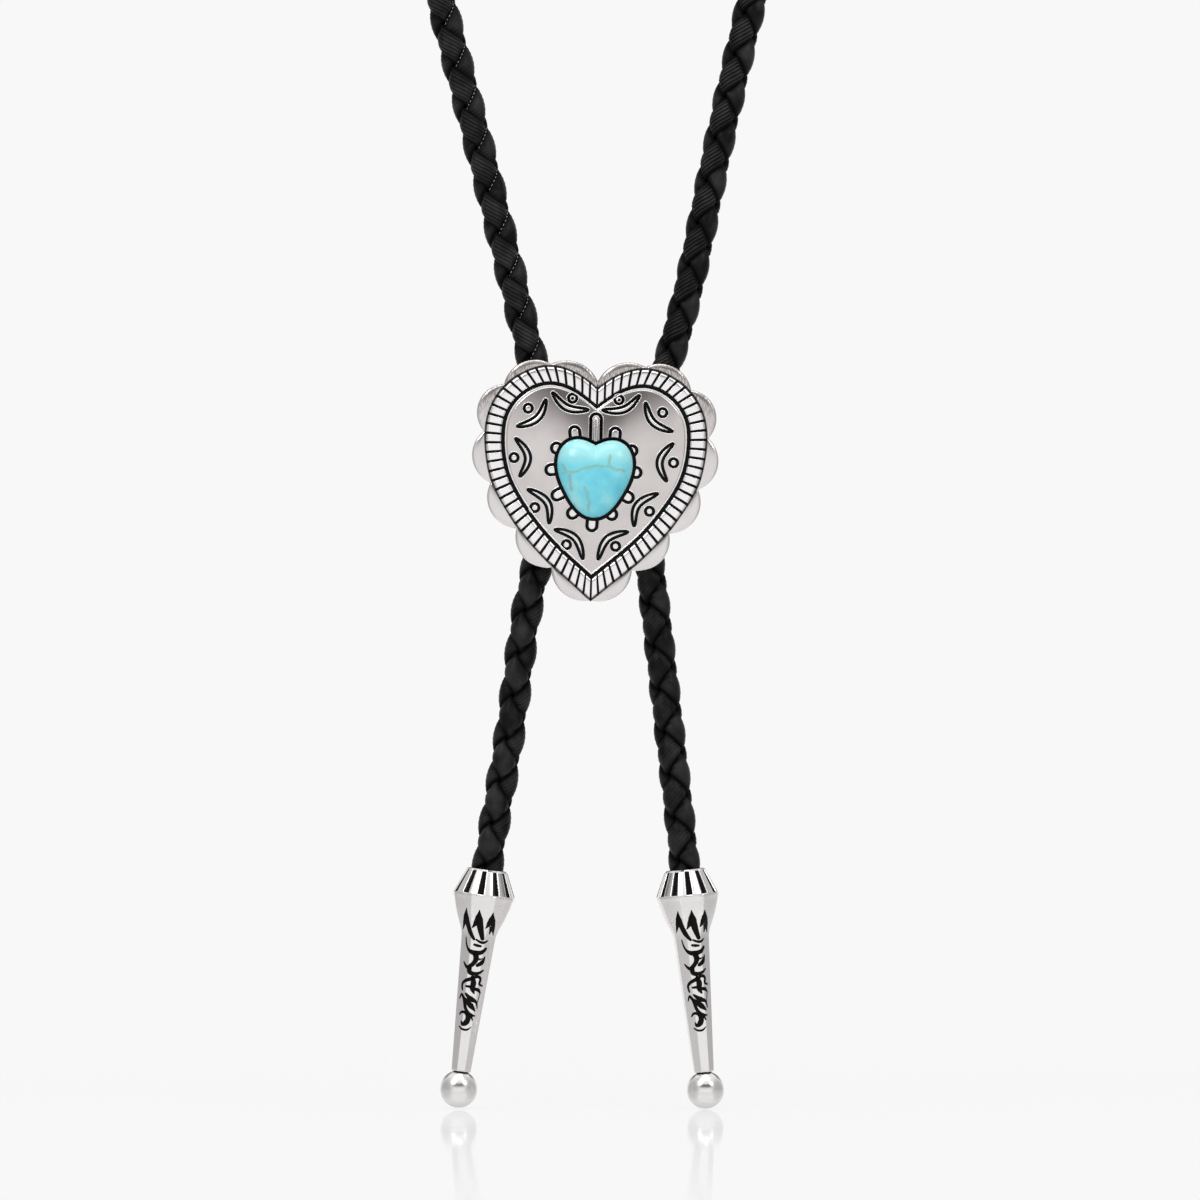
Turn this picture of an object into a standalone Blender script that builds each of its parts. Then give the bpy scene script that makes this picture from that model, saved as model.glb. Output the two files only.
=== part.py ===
"""A bolo tie as it is worn: a cast heart slide with a turquoise heart, a braided cord and two cast tips.

The origin is where the cord rests on the nape. +Z is up and the front faces -Y.
Left and right are the viewer's. Sizes are in metres.
"""

import math

import bmesh
import bpy
import numpy as np

MM = 0.001
GAP = 0.3 * MM

# Where the slide hangs
SLIDE_Z = -302.0 * MM
SLIDE_TILT = math.radians(1.9)
CORD_Y = -119.0 * MM

# Heart of the slide, and its half outline from cleft to tip as shares of half the width and of the height
HEART_WIDTH = 40.2 * MM
HEART_HEIGHT = 42.3 * MM
HEART_CENTRE_SHARE = 0.518
HEART_HALF = (
    # share of half width, share of height
    (0.000, 0.908),
    (0.114, 0.950),
    (0.239, 0.981),
    (0.428, 1.000),
    (0.622, 0.981),
    (0.836, 0.910),
    (0.970, 0.804),
    (1.000, 0.690),
    (0.928, 0.499),
    (0.771, 0.364),
    (0.532, 0.222),
    (0.229, 0.091),
    (0.000, 0.000),
)

# Scalloped border outside the heart; a rise is a lobe's height over its chord
LOBE_RISE = 2.6 * MM
LOBE_SHARES = (0.75, 0.90, 1.12, 1.05, 1.00, 1.00, 0.85)
LOBE_STEPS = 8
CUSP_OUTSIDE = 0.5 * MM
CLEFT_CUSP_RISE = 1.5 * MM
EDGE_THICKNESS = 0.9 * MM
LOBE_CROWN = 1.9 * MM
LOBE_VALLEY = 1.1 * MM
FOOT_LEVEL = 1.4 * MM
FOOT_OUTSIDE = 0.12 * MM

# Ribbed rim
RIM_WIDTH = 3.1 * MM
RIM_STEP_WIDTH = 0.3 * MM
RIM_LEVEL = 2.7 * MM
RIB_DEPTH = 0.28 * MM
RIBS_PER_SIDE = 37
STEPS_PER_RIB = 3

# Domed panel and its relief
PANEL_LEVEL = 2.3 * MM
DOME_RISE = 1.9 * MM
PANEL_STEPS = 28
PANEL_RINGS = (0.76, 0.5, 0.24)
RELIEF = 0.25 * MM
RELIEF_ROOT = 0.5 * MM
DOT_RADIUS = 0.75 * MM
CRESCENT_HALF_WIDTH = 0.42 * MM
PETAL_HALF_WIDTH = 0.95 * MM
PETAL_GAP = 0.15 * MM
DRAWN_WIDTH = 40.2
DRAWN_HEIGHT = 42.3
DOTS = (
    # x, z on the right side, for a heart of the drawn width and height
    (4.25, 14.5),
    (12.3, 12.4),
    (14.6, 3.3),
    (10.5, -5.7),
    (4.6, -12.6),
)
CRESCENTS = (
    # first end, middle, last end on the right side
    ((8.0, 15.5), (5.3, 12.8), (1.2, 12.5)),
    ((9.1, 14.2), (10.4, 10.8), (14.3, 9.0)),
    ((14.5, 6.9), (12.05, 3.3), (13.5, -0.2)),
    ((12.0, -2.4), (8.1, -4.95), (7.8, -8.6)),
    ((6.8, -9.6), (3.0, -11.0), (1.4, -14.9)),
)
PETALS = (
    # outer end on the right side
    (4.1, 9.7),
    (8.2, 6.3),
    (9.2, 1.2),
    (7.9, -4.1),
    (4.6, -7.8),
)
LOWER_PETAL_END = (0.0, -9.6)
STEM_END = (0.0, 11.7)

# Turquoise heart and its seat
STONE_WIDTH = 13.8 * MM
STONE_HEIGHT = 14.2 * MM
STONE_CENTRE_SHARE = 0.493
STONE_HALF = (
    # share of half width, share of height
    (0.00, 0.930),
    (0.20, 0.975),
    (0.52, 1.000),
    (0.84, 0.920),
    (1.00, 0.700),
    (0.95, 0.530),
    (0.76, 0.320),
    (0.47, 0.115),
    (0.23, 0.025),
    (0.00, 0.000),
)
STONE_STEPS = 20
STONE_GIRDLE = 0.9 * MM
STONE_DOME = 3.3 * MM
STONE_RINGS = (0.93, 0.78, 0.55, 0.28)
SEAT_DEPTH = 0.55 * MM

# Clip behind the slide: two tunnels for the cord, joined by a flat bridge
CLIP_CENTRE_X = 0.5 * MM
CLIP_SPACING = 17.4 * MM
CLIP_HEIGHT = 9.0 * MM
CLIP_WALL = 1.0 * MM
CLIP_CORNER = 1.2 * MM
BRIDGE_THICKNESS = 1.3 * MM
BORE_CLEARANCE = 0.6 * MM
BORE_SIDES = 24

# Braided cord, as a plain round tube
CORD_RADIUS = 2.9 * MM
LOOP_POINTS = 58
TAIL_POINTS = 11

# Cast tips: distance below the top rim and radius
TIP_RIM_RADIUS = 3.6 * MM
TIP_CROWN_HEIGHT = 4.9 * MM
TIP_SHOULDER_RADIUS = 5.7 * MM
TIP_CONE_HEIGHT = 6.8 * MM
TIP_NECK_RADIUS = 3.25 * MM
TIP_TAPER_HEIGHT = 25.3 * MM
TIP_END_RADIUS = 1.76 * MM
TIP_GROOVE_RADIUS = 1.3 * MM
TIP_GROOVE_HEIGHT = 0.5 * MM
BALL_RADIUS = 3.45 * MM
SOCKET_DEPTH = 8.0 * MM
SOCKET_CLEARANCE = 0.3 * MM
CROWN_SLOTS = 12
STEPS_PER_SLOT = 4
SLOT_DEPTH = 0.45 * MM
SLOT_MARGIN = 0.5 * MM
TIP_STEPS = 32
TIP_FACETS = 8
LEFT_TIP_TOP = (-19.7, -71.5)
LEFT_TIP_LEAN = math.radians(7.4)
RIGHT_TIP_TOP = (16.6, -71.5)
RIGHT_TIP_LEAN = math.radians(-5.3)

# Relief on a tip's front, in mm: sideways, and down from the top rim
FLAMES = (
    # top end, widest place, lower end
    ((-2.0, 7.4), (-2.1, 9.6), (-1.9, 11.9)),
    ((0.0, 7.0), (0.1, 9.4), (0.5, 12.0)),
    ((2.0, 7.4), (2.1, 9.6), (1.9, 11.6)),
)
FLAME_HALF_WIDTH = 0.5 * MM
FLAME_DEPTH = 0.3 * MM
SCROLLS = (
    # start, middle, end of each raised leaf
    ((-1.6, 13.4), (0.2, 14.9), (1.6, 13.6)),
    ((-1.3, 17.2), (-0.9, 15.9), (0.4, 16.4)),
    ((1.3, 16.2), (1.2, 18.2), (-0.3, 19.0)),
    ((-1.3, 19.2), (-1.2, 21.2), (0.2, 21.6)),
    ((1.1, 20.6), (1.3, 22.4), (0.1, 23.6)),
    ((-1.1, 23.6), (-1.0, 25.4), (0.3, 25.8)),
    ((0.9, 25.0), (1.1, 26.8), (-0.2, 27.9)),
)
SCROLL_HALF_WIDTH = 0.34 * MM

# Places that follow from the sizes above
TUNNEL_RADIUS = CORD_RADIUS + BORE_CLEARANCE
CLIP_DEPTH = 2 * (TUNNEL_RADIUS + CLIP_WALL)
SLIDE_BACK_Y = CORD_Y - CLIP_DEPTH / 2 - GAP
LEFT_TUNNEL_X = CLIP_CENTRE_X - CLIP_SPACING / 2
RIGHT_TUNNEL_X = CLIP_CENTRE_X + CLIP_SPACING / 2
SOCKET_RADIUS = CORD_RADIUS + SOCKET_CLEARANCE
SLIDE_MM = SLIDE_Z / MM
CORD_MM = CORD_Y / MM

# The cord's route in mm, chosen by hand: up from the clip, round the neck and down again
LOOP_ROUTE = (
    (LEFT_TUNNEL_X / MM, CORD_MM, SLIDE_MM + GAP / MM / 2),
    (-8.2, CORD_MM, SLIDE_MM + 3.0),
    (-8.4, CORD_MM, SLIDE_MM + 7.0),
    (-11.4, -118.8, SLIDE_MM + 21.9),
    (-19.6, -118.2, SLIDE_MM + 55.0),
    (-28.1, -117.6, SLIDE_MM + 87.7),
    (-38.6, -117.0, SLIDE_MM + 130.0),
    (-47.6, -114.8, SLIDE_MM + 171.0),
    (-54.6, -108.6, -98.0),
    (-60.0, -95.5, -69.0),
    (-63.0, -76.0, -45.5),
    (-62.6, -52.0, -27.5),
    (-55.5, -28.0, -14.0),
    (-40.0, -9.0, -5.0),
    (-20.0, 0.4, -1.0),
    (0.0, 2.9, 0.0),
    (20.0, 0.4, -1.0),
    (40.0, -9.0, -5.0),
    (55.5, -28.0, -14.0),
    (62.6, -52.0, -27.5),
    (63.0, -76.0, -45.5),
    (60.0, -95.5, -69.0),
    (54.6, -108.6, -98.0),
    (47.8, -114.8, SLIDE_MM + 171.0),
    (38.9, -117.0, SLIDE_MM + 130.0),
    (28.8, -117.6, SLIDE_MM + 87.7),
    (21.4, -118.2, SLIDE_MM + 55.0),
    (13.4, -118.8, SLIDE_MM + 21.3),
    (9.4, CORD_MM, SLIDE_MM + 7.0),
    (9.2, CORD_MM, SLIDE_MM + 3.0),
    (RIGHT_TUNNEL_X / MM, CORD_MM, SLIDE_MM + GAP / MM / 2),
)
LEFT_TAIL_ROUTE = (
    (LEFT_TUNNEL_X / MM, CORD_MM, SLIDE_MM - GAP / MM / 2),
    (-8.2, CORD_MM, SLIDE_MM - 3.0),
    (-8.4, CORD_MM, SLIDE_MM - 6.5),
    (-10.7, CORD_MM, SLIDE_MM - 16.2),
    (-15.2, CORD_MM, SLIDE_MM - 44.0),
)
RIGHT_TAIL_ROUTE = (
    (RIGHT_TUNNEL_X / MM, CORD_MM, SLIDE_MM - GAP / MM / 2),
    (9.2, CORD_MM, SLIDE_MM - 3.0),
    (9.25, CORD_MM, SLIDE_MM - 6.5),
    (10.3, CORD_MM, SLIDE_MM - 17.1),
    (13.5, CORD_MM, SLIDE_MM - 44.0),
)


def clear_scene():
    for old in list(bpy.data.objects):
        bpy.data.objects.remove(old, do_unlink=True)


def material(name, colour, roughness, metallic):
    made = bpy.data.materials.new(name)
    made.use_nodes = True
    shader = made.node_tree.nodes["Principled BSDF"]
    shader.inputs["Base Color"].default_value = (*colour, 1.0)
    shader.inputs["Roughness"].default_value = roughness
    shader.inputs["Metallic"].default_value = metallic
    return made


def add_mesh(name, bm, finish, smooth_angle=35.0):
    bmesh.ops.recalc_face_normals(bm, faces=bm.faces)
    mesh = bpy.data.meshes.new(name)
    bm.to_mesh(mesh)
    bm.free()
    mesh.shade_smooth()
    mesh.set_sharp_from_angle(angle=math.radians(smooth_angle))
    mesh.materials.append(finish)
    thing = bpy.data.objects.new(name, mesh)
    bpy.context.collection.objects.link(thing)
    return thing


def smooth_curve(points, count):
    """Natural cubic spline through the points, with the distance between them as its parameter."""
    points = np.asarray(points, float)
    steps = np.linalg.norm(np.diff(points, axis=0), axis=1)
    knots = np.concatenate(([0.0], np.cumsum(steps)))
    last = len(points) - 1
    system = np.eye(last + 1)
    right = np.zeros_like(points)
    for i in range(1, last):
        before, after = steps[i - 1], steps[i]
        system[i, i - 1 : i + 2] = before, 2 * (before + after), after
        change = (points[i + 1] - points[i]) / after - (points[i] - points[i - 1]) / before
        right[i] = 6 * change
    bend = np.linalg.solve(system, right)
    at = np.linspace(0.0, knots[-1], count)
    k = np.clip(np.searchsorted(knots, at, side="right") - 1, 0, last - 1)
    span = steps[k][:, None]
    ahead = (knots[k + 1] - at)[:, None]
    past = (at - knots[k])[:, None]
    cubic = (bend[k] * ahead**3 + bend[k + 1] * past**3) / (6 * span)
    line = (points[k] / span - bend[k] * span / 6) * ahead
    return cubic + line + (points[k + 1] / span - bend[k + 1] * span / 6) * past


def even_steps(curve, count):
    """The curve again as count points at equal distances along it."""
    along = np.concatenate(([0.0], np.cumsum(np.linalg.norm(np.diff(curve, axis=0), axis=1))))
    at = np.linspace(0.0, along[-1], count)
    return np.stack([np.interp(at, along, curve[:, i]) for i in range(curve.shape[1])], axis=1)


def half_heart(shares, width, height, centre_share, round_tip):
    """Right half of a heart's outline from cleft to tip, as close points (x, z) from its centre."""
    below = height * centre_share
    half = [(x * width / 2, z * height - below) for x, z in shares]
    if not round_tip:
        return smooth_curve(half, 400)
    mirrored = [(-x, z) for x, z in half[-2:-5:-1]]
    curve = smooth_curve(half + mirrored, 700)
    curve = curve[: int(np.argmax(curve[:, 0] < 0))]
    return np.vstack([curve, (0.0, -below)])


def inset(curve, distance):
    """A half outline moved inwards, or outwards if negative, and cut or mitred where it meets x = 0."""
    run = np.gradient(curve, axis=0)
    run /= np.linalg.norm(run, axis=1)[:, None]
    moved = curve + distance * np.stack([run[:, 1], -run[:, 0]], axis=1)
    right = np.flatnonzero(moved[:, 0] > 0)
    first, last = right[0], right[-1]
    body = moved[first : last + 1]
    start = body[0] - run[first] * (body[0, 0] / run[first, 0])
    end = body[-1] - run[last] * (body[-1, 0] / run[last, 0])
    return np.vstack([start, body, end])


def whole(half):
    """A closed ring from a half outline: cleft, right side, tip, left side."""
    left = half[-2:0:-1] * (-1, 1)
    return np.vstack([half * (1, 1), left])


HEART = half_heart(HEART_HALF, HEART_WIDTH, HEART_HEIGHT, HEART_CENTRE_SHARE, False)
STONE = half_heart(STONE_HALF, STONE_WIDTH, STONE_HEIGHT, STONE_CENTRE_SHARE, True)
PANEL = inset(HEART, RIM_WIDTH + RIM_STEP_WIDTH)
PANEL_ANGLES = np.arctan2(PANEL[:, 0], PANEL[:, 1])
PANEL_REACH = np.hypot(PANEL[:, 0], PANEL[:, 1])


def dome(x, z):
    """Level of the panel: a dome that falls to PANEL_LEVEL at the rim, whichever way one goes."""
    share = np.hypot(x, z) / np.interp(np.arctan2(np.abs(x), z), PANEL_ANGLES, PANEL_REACH)
    return PANEL_LEVEL + DOME_RISE * (1 - np.minimum(share, 1.0) ** 2)


def ring_verts(bm, ring, level):
    levels = np.broadcast_to(level, len(ring))
    return [bm.verts.new((x, -h, z)) for (x, z), h in zip(ring, levels)]


def stitch(bm, first, second):
    """Faces between two closed rings, also where they have different numbers of points."""
    n, m = len(first), len(second)
    if n == m:
        for i in range(n):
            bm.faces.new((first[i - 1], first[i], second[i], second[i - 1]))
        return
    i = j = 0
    while i < n or j < m:
        a, b = first[i % n], second[j % m]
        if j == m or (i < n and (i + 1) / n <= (j + 1) / m):
            bm.faces.new((a, first[(i + 1) % n], b))
            i += 1
        else:
            bm.faces.new((a, second[(j + 1) % m], b))
            j += 1


def fan(bm, ring, level):
    """Triangles from a ring to a point on the middle axis, which every heart here can see all round."""
    middle = bm.verts.new((0.0, -level, 0.0))
    for i in range(len(ring)):
        bm.faces.new((ring[i - 1], ring[i], middle))


def arc(first, last, rise, steps):
    """Points of a round arc from first towards last that stands rise over its chord, to the left."""
    first, last = np.asarray(first), np.asarray(last)
    chord = last - first
    length = np.linalg.norm(chord)
    radius = (length**2 / 4 + rise**2) / (2 * rise)
    reach = math.asin(length / 2 / radius)
    if rise > length / 2:
        reach = math.pi - reach
    turn = np.linspace(-reach, reach, steps + 1)[:-1]
    along = chord / length
    left = np.array((-along[1], along[0]))
    middle = (first + last) / 2 + left * (rise - radius)
    return middle + radius * (np.sin(turn)[:, None] * along + np.cos(turn)[:, None] * left)


def scallops():
    """Right half of the scalloped border and each point's share of the way across its lobe."""
    cusps = even_steps(inset(HEART, -CUSP_OUTSIDE), len(LOBE_SHARES) + 1)
    cusps[0] = (0.0, HEART[0, 1] + CLEFT_CUSP_RISE)
    cusps[-1] = (0.0, HEART[-1, 1] - CUSP_OUTSIDE / 2)
    points = []
    for start, end, share in zip(cusps, cusps[1:], LOBE_SHARES):
        points.extend(arc(start, end, LOBE_RISE * share, LOBE_STEPS))
    points.append(cusps[-1])
    phase = np.arange(len(points)) % LOBE_STEPS / LOBE_STEPS
    return np.array(points), phase


def strip(bm, centre, half_widths, place, low, high):
    """A closed solid along a line of points, from level low to level high over the surface."""
    centre = np.asarray(centre)
    run = np.gradient(centre, axis=0)
    run /= np.linalg.norm(run, axis=1)[:, None]
    side = np.stack([-run[:, 1], run[:, 0]], axis=1) * np.asarray(half_widths)[:, None]
    loops = []
    for left, right in zip(centre + side, centre - side):
        corners = ((left, low), (left, high), (right, high), (right, low))
        loops.append([bm.verts.new(place(u, v, level)) for (u, v), level in corners])
    for one, two in zip(loops, loops[1:]):
        for i in range(4):
            bm.faces.new((one[i - 1], one[i], two[i], two[i - 1]))
    bm.faces.new(loops[0])
    bm.faces.new(loops[-1][::-1])


def bent_strip(bm, ends, half_width, steps, place, low, high):
    """A crescent through three points, narrow at both ends."""
    line = even_steps(smooth_curve(ends, 60), steps + 1)
    along = np.linspace(0, math.pi, steps + 1)
    strip(bm, line, half_width * (0.3 + 0.7 * np.sin(along)), place, low, high)


def on_panel(x, z, level):
    return (x, -(dome(x, z) + level), z)


def from_drawing(places, side):
    """Places of a motif in metres, on the side given by its sign, as wide and high as the heart is."""
    return np.array(places) * (side * HEART_WIDTH / DRAWN_WIDTH, HEART_HEIGHT / DRAWN_HEIGHT)


def petal(bm, end):
    """A round-ended petal out to its end from the nearest edge of the stone's seat, or from its cleft."""
    seat = inset(STONE, -(GAP + PETAL_GAP))
    around = np.vstack([seat, seat * (-1, 1)])
    start = around[np.argmin(np.linalg.norm(around - end, axis=1))]
    if end[0] == 0.0 and end[1] > 0.0:
        start = seat[0]
    way = np.array((0.0, 0.4, 0.75, 0.93, 1.0))
    widths = PETAL_HALF_WIDTH * np.array((0.85, 1.0, 0.85, 0.5, 0.2))
    strip(bm, start + way[:, None] * (end - start), widths, on_panel, -RELIEF_ROOT, RELIEF)


def panel_relief():
    """The raised dots, crescents, petals and stem, each a small solid rooted in the panel."""
    bm = bmesh.new()
    for side in (-1, 1):
        for x, z in from_drawing(DOTS, side):
            turn = np.linspace(0, math.pi, 6)
            line = np.stack([x - DOT_RADIUS * np.cos(turn), np.full(6, z)], axis=1)
            widths = DOT_RADIUS * np.maximum(np.sin(turn), 0.12)
            strip(bm, line, widths, on_panel, -RELIEF_ROOT, RELIEF)
        for ends in from_drawing(CRESCENTS, side):
            bent_strip(bm, ends, CRESCENT_HALF_WIDTH, 8, on_panel, -RELIEF_ROOT, RELIEF)
        for end in from_drawing(PETALS, side):
            petal(bm, end)
    petal(bm, from_drawing(LOWER_PETAL_END, 1))
    petal(bm, from_drawing(STEM_END, 1))
    return bm


def make_slide(finish):
    """The cast slide, built as rings from the back edge over the border and the rim to the seat."""
    bm = bmesh.new()
    border, phase = scallops()
    foot = even_steps(inset(HEART, -FOOT_OUTSIDE), len(border))
    crown = LOBE_VALLEY + (LOBE_CROWN - LOBE_VALLEY) * np.sin(math.pi * phase) ** 0.7
    crown = np.concatenate([crown, crown[-2:0:-1]])
    rib_steps = RIBS_PER_SIDE * STEPS_PER_RIB + 1
    groove = np.where(np.arange(2 * rib_steps - 2) % STEPS_PER_RIB == 0, RIB_DEPTH, 0.0)
    rim_inner = inset(HEART, RIM_WIDTH)
    panel = even_steps(PANEL, PANEL_STEPS + 1)
    seat = whole(even_steps(inset(STONE, -GAP), PANEL_STEPS + 1))

    rings = [ring_verts(bm, whole(even_steps(HEART, len(border))), 0.0)]
    rings.append(ring_verts(bm, whole(border), 0.0))
    rings.append(ring_verts(bm, whole(border), EDGE_THICKNESS))
    rings.append(ring_verts(bm, whole(foot * 0.45 + border * 0.55), crown))
    rings.append(ring_verts(bm, whole(foot), FOOT_LEVEL))
    rings.append(ring_verts(bm, whole(even_steps(HEART, rib_steps)), RIM_LEVEL - groove))
    rings.append(ring_verts(bm, whole(even_steps(rim_inner, rib_steps)), RIM_LEVEL - groove))
    rings.append(ring_verts(bm, whole(panel), PANEL_LEVEL))
    for share in PANEL_RINGS:
        ring = seat + share * (whole(panel) - seat)
        rings.append(ring_verts(bm, ring, dome(ring[:, 0], ring[:, 1])))
    rings.append(ring_verts(bm, seat, dome(seat[:, 0], seat[:, 1])))
    rings.append(ring_verts(bm, seat, seat_floor()))
    for outer, inner in zip(rings, rings[1:]):
        stitch(bm, outer, inner)
    fan(bm, rings[0], 0.0)
    fan(bm, rings[-1], seat_floor())
    bmesh.ops.triangulate(bm, faces=bm.faces)

    slide = add_mesh("slide_plate", bm, finish)
    relief = add_mesh("slide_relief", panel_relief(), finish)
    relief.hide_render = True
    relief.display_type = "WIRE"
    relief.parent = slide
    join = slide.modifiers.new("raised relief", "BOOLEAN")
    join.operation = "UNION"
    join.object = relief
    return slide


def seat_floor():
    """Level of the seat's flat floor, under the lowest place on the seat's edge."""
    edge = inset(STONE, -GAP)
    return float(np.min(dome(edge[:, 0], edge[:, 1]))) - SEAT_DEPTH


def make_stone(finish):
    """The cabochon: a straight girdle and a round dome, from a flat base over the seat."""
    bm = bmesh.new()
    outline = whole(even_steps(STONE, STONE_STEPS + 1))
    base = seat_floor() + GAP
    rings = [ring_verts(bm, outline, base), ring_verts(bm, outline, base + STONE_GIRDLE)]
    for share in STONE_RINGS:
        level = base + STONE_GIRDLE + STONE_DOME * (1 - share**2.6) ** 0.55
        rings.append(ring_verts(bm, outline * share, level))
    for outer, inner in zip(rings, rings[1:]):
        stitch(bm, outer, inner)
    fan(bm, rings[0], base)
    fan(bm, rings[-1], base + STONE_GIRDLE + STONE_DOME)
    bmesh.ops.triangulate(bm, faces=bm.faces)
    return add_mesh("stone", bm, finish, 50.0)


def make_clip(finish):
    """The clip: a flat bridge between two blocks, with a round tunnel through each for the cord."""
    bm = bmesh.new()
    block = TUNNEL_RADIUS + CLIP_WALL
    outer = CLIP_SPACING / 2 + block
    inner = CLIP_SPACING / 2 - block
    front = -CLIP_DEPTH / 2
    back = CLIP_DEPTH / 2
    cut = CLIP_CORNER
    right = (
        (outer, front),
        (outer, back - cut),
        (outer - cut, back),
        (inner + cut, back),
        (inner, back - cut),
        (inner, front + BRIDGE_THICKNESS),
    )
    outline = list(right) + [(-x, y) for x, y in reversed(right)]
    lower = [bm.verts.new((x, y, -CLIP_HEIGHT / 2)) for x, y in outline]
    upper = [bm.verts.new((x, y, CLIP_HEIGHT / 2)) for x, y in outline]
    stitch(bm, lower, upper)
    bm.faces.new(lower)
    bm.faces.new(upper)
    clip = add_mesh("back_clip", bm, finish)
    clip.location = (CLIP_CENTRE_X, CORD_Y, SLIDE_Z)
    for name, side in (("left", -1), ("right", 1)):
        cutter_mesh = bmesh.new()
        bmesh.ops.create_cone(
            cutter_mesh,
            cap_ends=True,
            segments=BORE_SIDES,
            radius1=TUNNEL_RADIUS,
            radius2=TUNNEL_RADIUS,
            depth=2 * CLIP_HEIGHT,
        )
        cutter = add_mesh(f"{name}_tunnel", cutter_mesh, finish)
        cutter.location = (side * CLIP_SPACING / 2, 0.0, 0.0)
        cutter.parent = clip
        cutter.hide_render = True
        cutter.display_type = "WIRE"
        drill = clip.modifiers.new(f"{name} tunnel", "BOOLEAN")
        drill.object = cutter
    return clip


def add_tube(name, route, count, finish):
    """A cord's tube along a smooth curve through its route, with a short step at each end to square it."""
    curve = bpy.data.curves.new(name, "CURVE")
    curve.dimensions = "3D"
    curve.bevel_depth = CORD_RADIUS
    curve.bevel_resolution = 4
    curve.use_fill_caps = True
    close = smooth_curve(route, 2000)
    along = np.concatenate(([0.0], np.cumsum(np.linalg.norm(np.diff(close, axis=0), axis=1))))
    end = CORD_RADIUS / MM
    places = np.linspace(0.0, along[-1], count - 2)
    places = np.sort(np.append(places, (end, along[-1] - end)))
    points = np.stack([np.interp(places, along, close[:, i]) for i in range(3)], axis=1) * MM
    spline = curve.splines.new("POLY")
    spline.points.add(count - 1)
    for point, place in zip(spline.points, points):
        point.co = (*place, 1.0)
    curve.materials.append(finish)
    tube = bpy.data.objects.new(name, curve)
    bpy.context.collection.objects.link(tube)
    return tube


def tail_route(route, tip_top, lean):
    """A tail's route carried on to the top of its tip and down its socket, in mm."""
    x, z = tip_top
    down = (SOCKET_DEPTH - GAP) / MM
    end = (x - down * math.sin(lean), CORD_MM, SLIDE_MM + z - down * math.cos(lean))
    return route + ((x, CORD_MM, SLIDE_MM + z), end)


def tip_radius(depth):
    """Radius of the plain tip at a depth below its top rim."""
    shoulder = TIP_CROWN_HEIGHT
    neck = shoulder + TIP_CONE_HEIGHT
    end = neck + TIP_TAPER_HEIGHT
    depths = (0.0, shoulder, neck, end)
    radii = (TIP_RIM_RADIUS, TIP_SHOULDER_RADIUS, TIP_NECK_RADIUS, TIP_END_RADIUS)
    return np.interp(depth, depths, radii)


def facet(turn, share):
    """How far an eight-sided section with a flat front reaches, from 1 at a corner; share 0 is round."""
    wedge = 2 * math.pi / TIP_FACETS
    off = (turn + wedge / 2) % wedge - wedge / 2
    flat = math.cos(wedge / 2) / np.cos(off)
    return 1 + share * (flat - 1)


def on_tip(side, depth, level):
    """A place on the tip's front: side along the surface, depth below the rim, level over the surface."""
    radius = tip_radius(depth)
    turn = side / radius
    reach = radius * facet(turn, 1.0) + level
    return (reach * math.sin(turn), -reach * math.cos(turn), -depth)


def tip_ring(bm, depth, radius, steps, share=0.0, cut=0.0):
    turn = np.arange(steps) * 2 * math.pi / steps
    reach = radius * facet(turn, share)
    if cut:
        reach = reach - np.where(np.arange(steps) % STEPS_PER_SLOT == 0, cut, 0.0)
    return [bm.verts.new((r * math.sin(t), -r * math.cos(t), -depth)) for r, t in zip(reach, turn)]


def tip_body(bm):
    """A tip's rings from the socket's floor up its wall, over the crown and down to the ball's pole."""
    crown = CROWN_SLOTS * STEPS_PER_SLOT
    shoulder = TIP_CROWN_HEIGHT
    neck = shoulder + TIP_CONE_HEIGHT
    end = neck + TIP_TAPER_HEIGHT
    rings = [tip_ring(bm, SOCKET_DEPTH, SOCKET_RADIUS, TIP_STEPS)]
    rings.append(tip_ring(bm, 0.0, SOCKET_RADIUS, TIP_STEPS))
    rings.append(tip_ring(bm, 0.0, TIP_RIM_RADIUS, crown))
    for depth in (SLOT_MARGIN, shoulder - SLOT_MARGIN):
        rings.append(tip_ring(bm, depth, tip_radius(depth), crown, depth / shoulder, SLOT_DEPTH))
    rings.append(tip_ring(bm, shoulder, TIP_SHOULDER_RADIUS, crown, 1.0))
    for depth in (neck, (neck + end) / 2, end):
        rings.append(tip_ring(bm, depth, tip_radius(depth), TIP_STEPS, 1.0))
    rings.append(tip_ring(bm, end, TIP_GROOVE_RADIUS, TIP_STEPS))
    low = end + TIP_GROOVE_HEIGHT
    rings.append(tip_ring(bm, low, TIP_GROOVE_RADIUS, TIP_STEPS))
    top_angle = math.asin(TIP_GROOVE_RADIUS * 1.15 / BALL_RADIUS)
    centre = low + BALL_RADIUS * math.cos(top_angle)
    for angle in np.linspace(top_angle, math.pi * 0.93, 9):
        depth = centre - BALL_RADIUS * math.cos(angle)
        rings.append(tip_ring(bm, depth, BALL_RADIUS * math.sin(angle), TIP_STEPS))
    for one, two in zip(rings, rings[1:]):
        stitch(bm, one, two)
    bm.faces.new(rings[0])
    bm.faces.new(rings[-1])
    bmesh.ops.triangulate(bm, faces=bm.faces)


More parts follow.
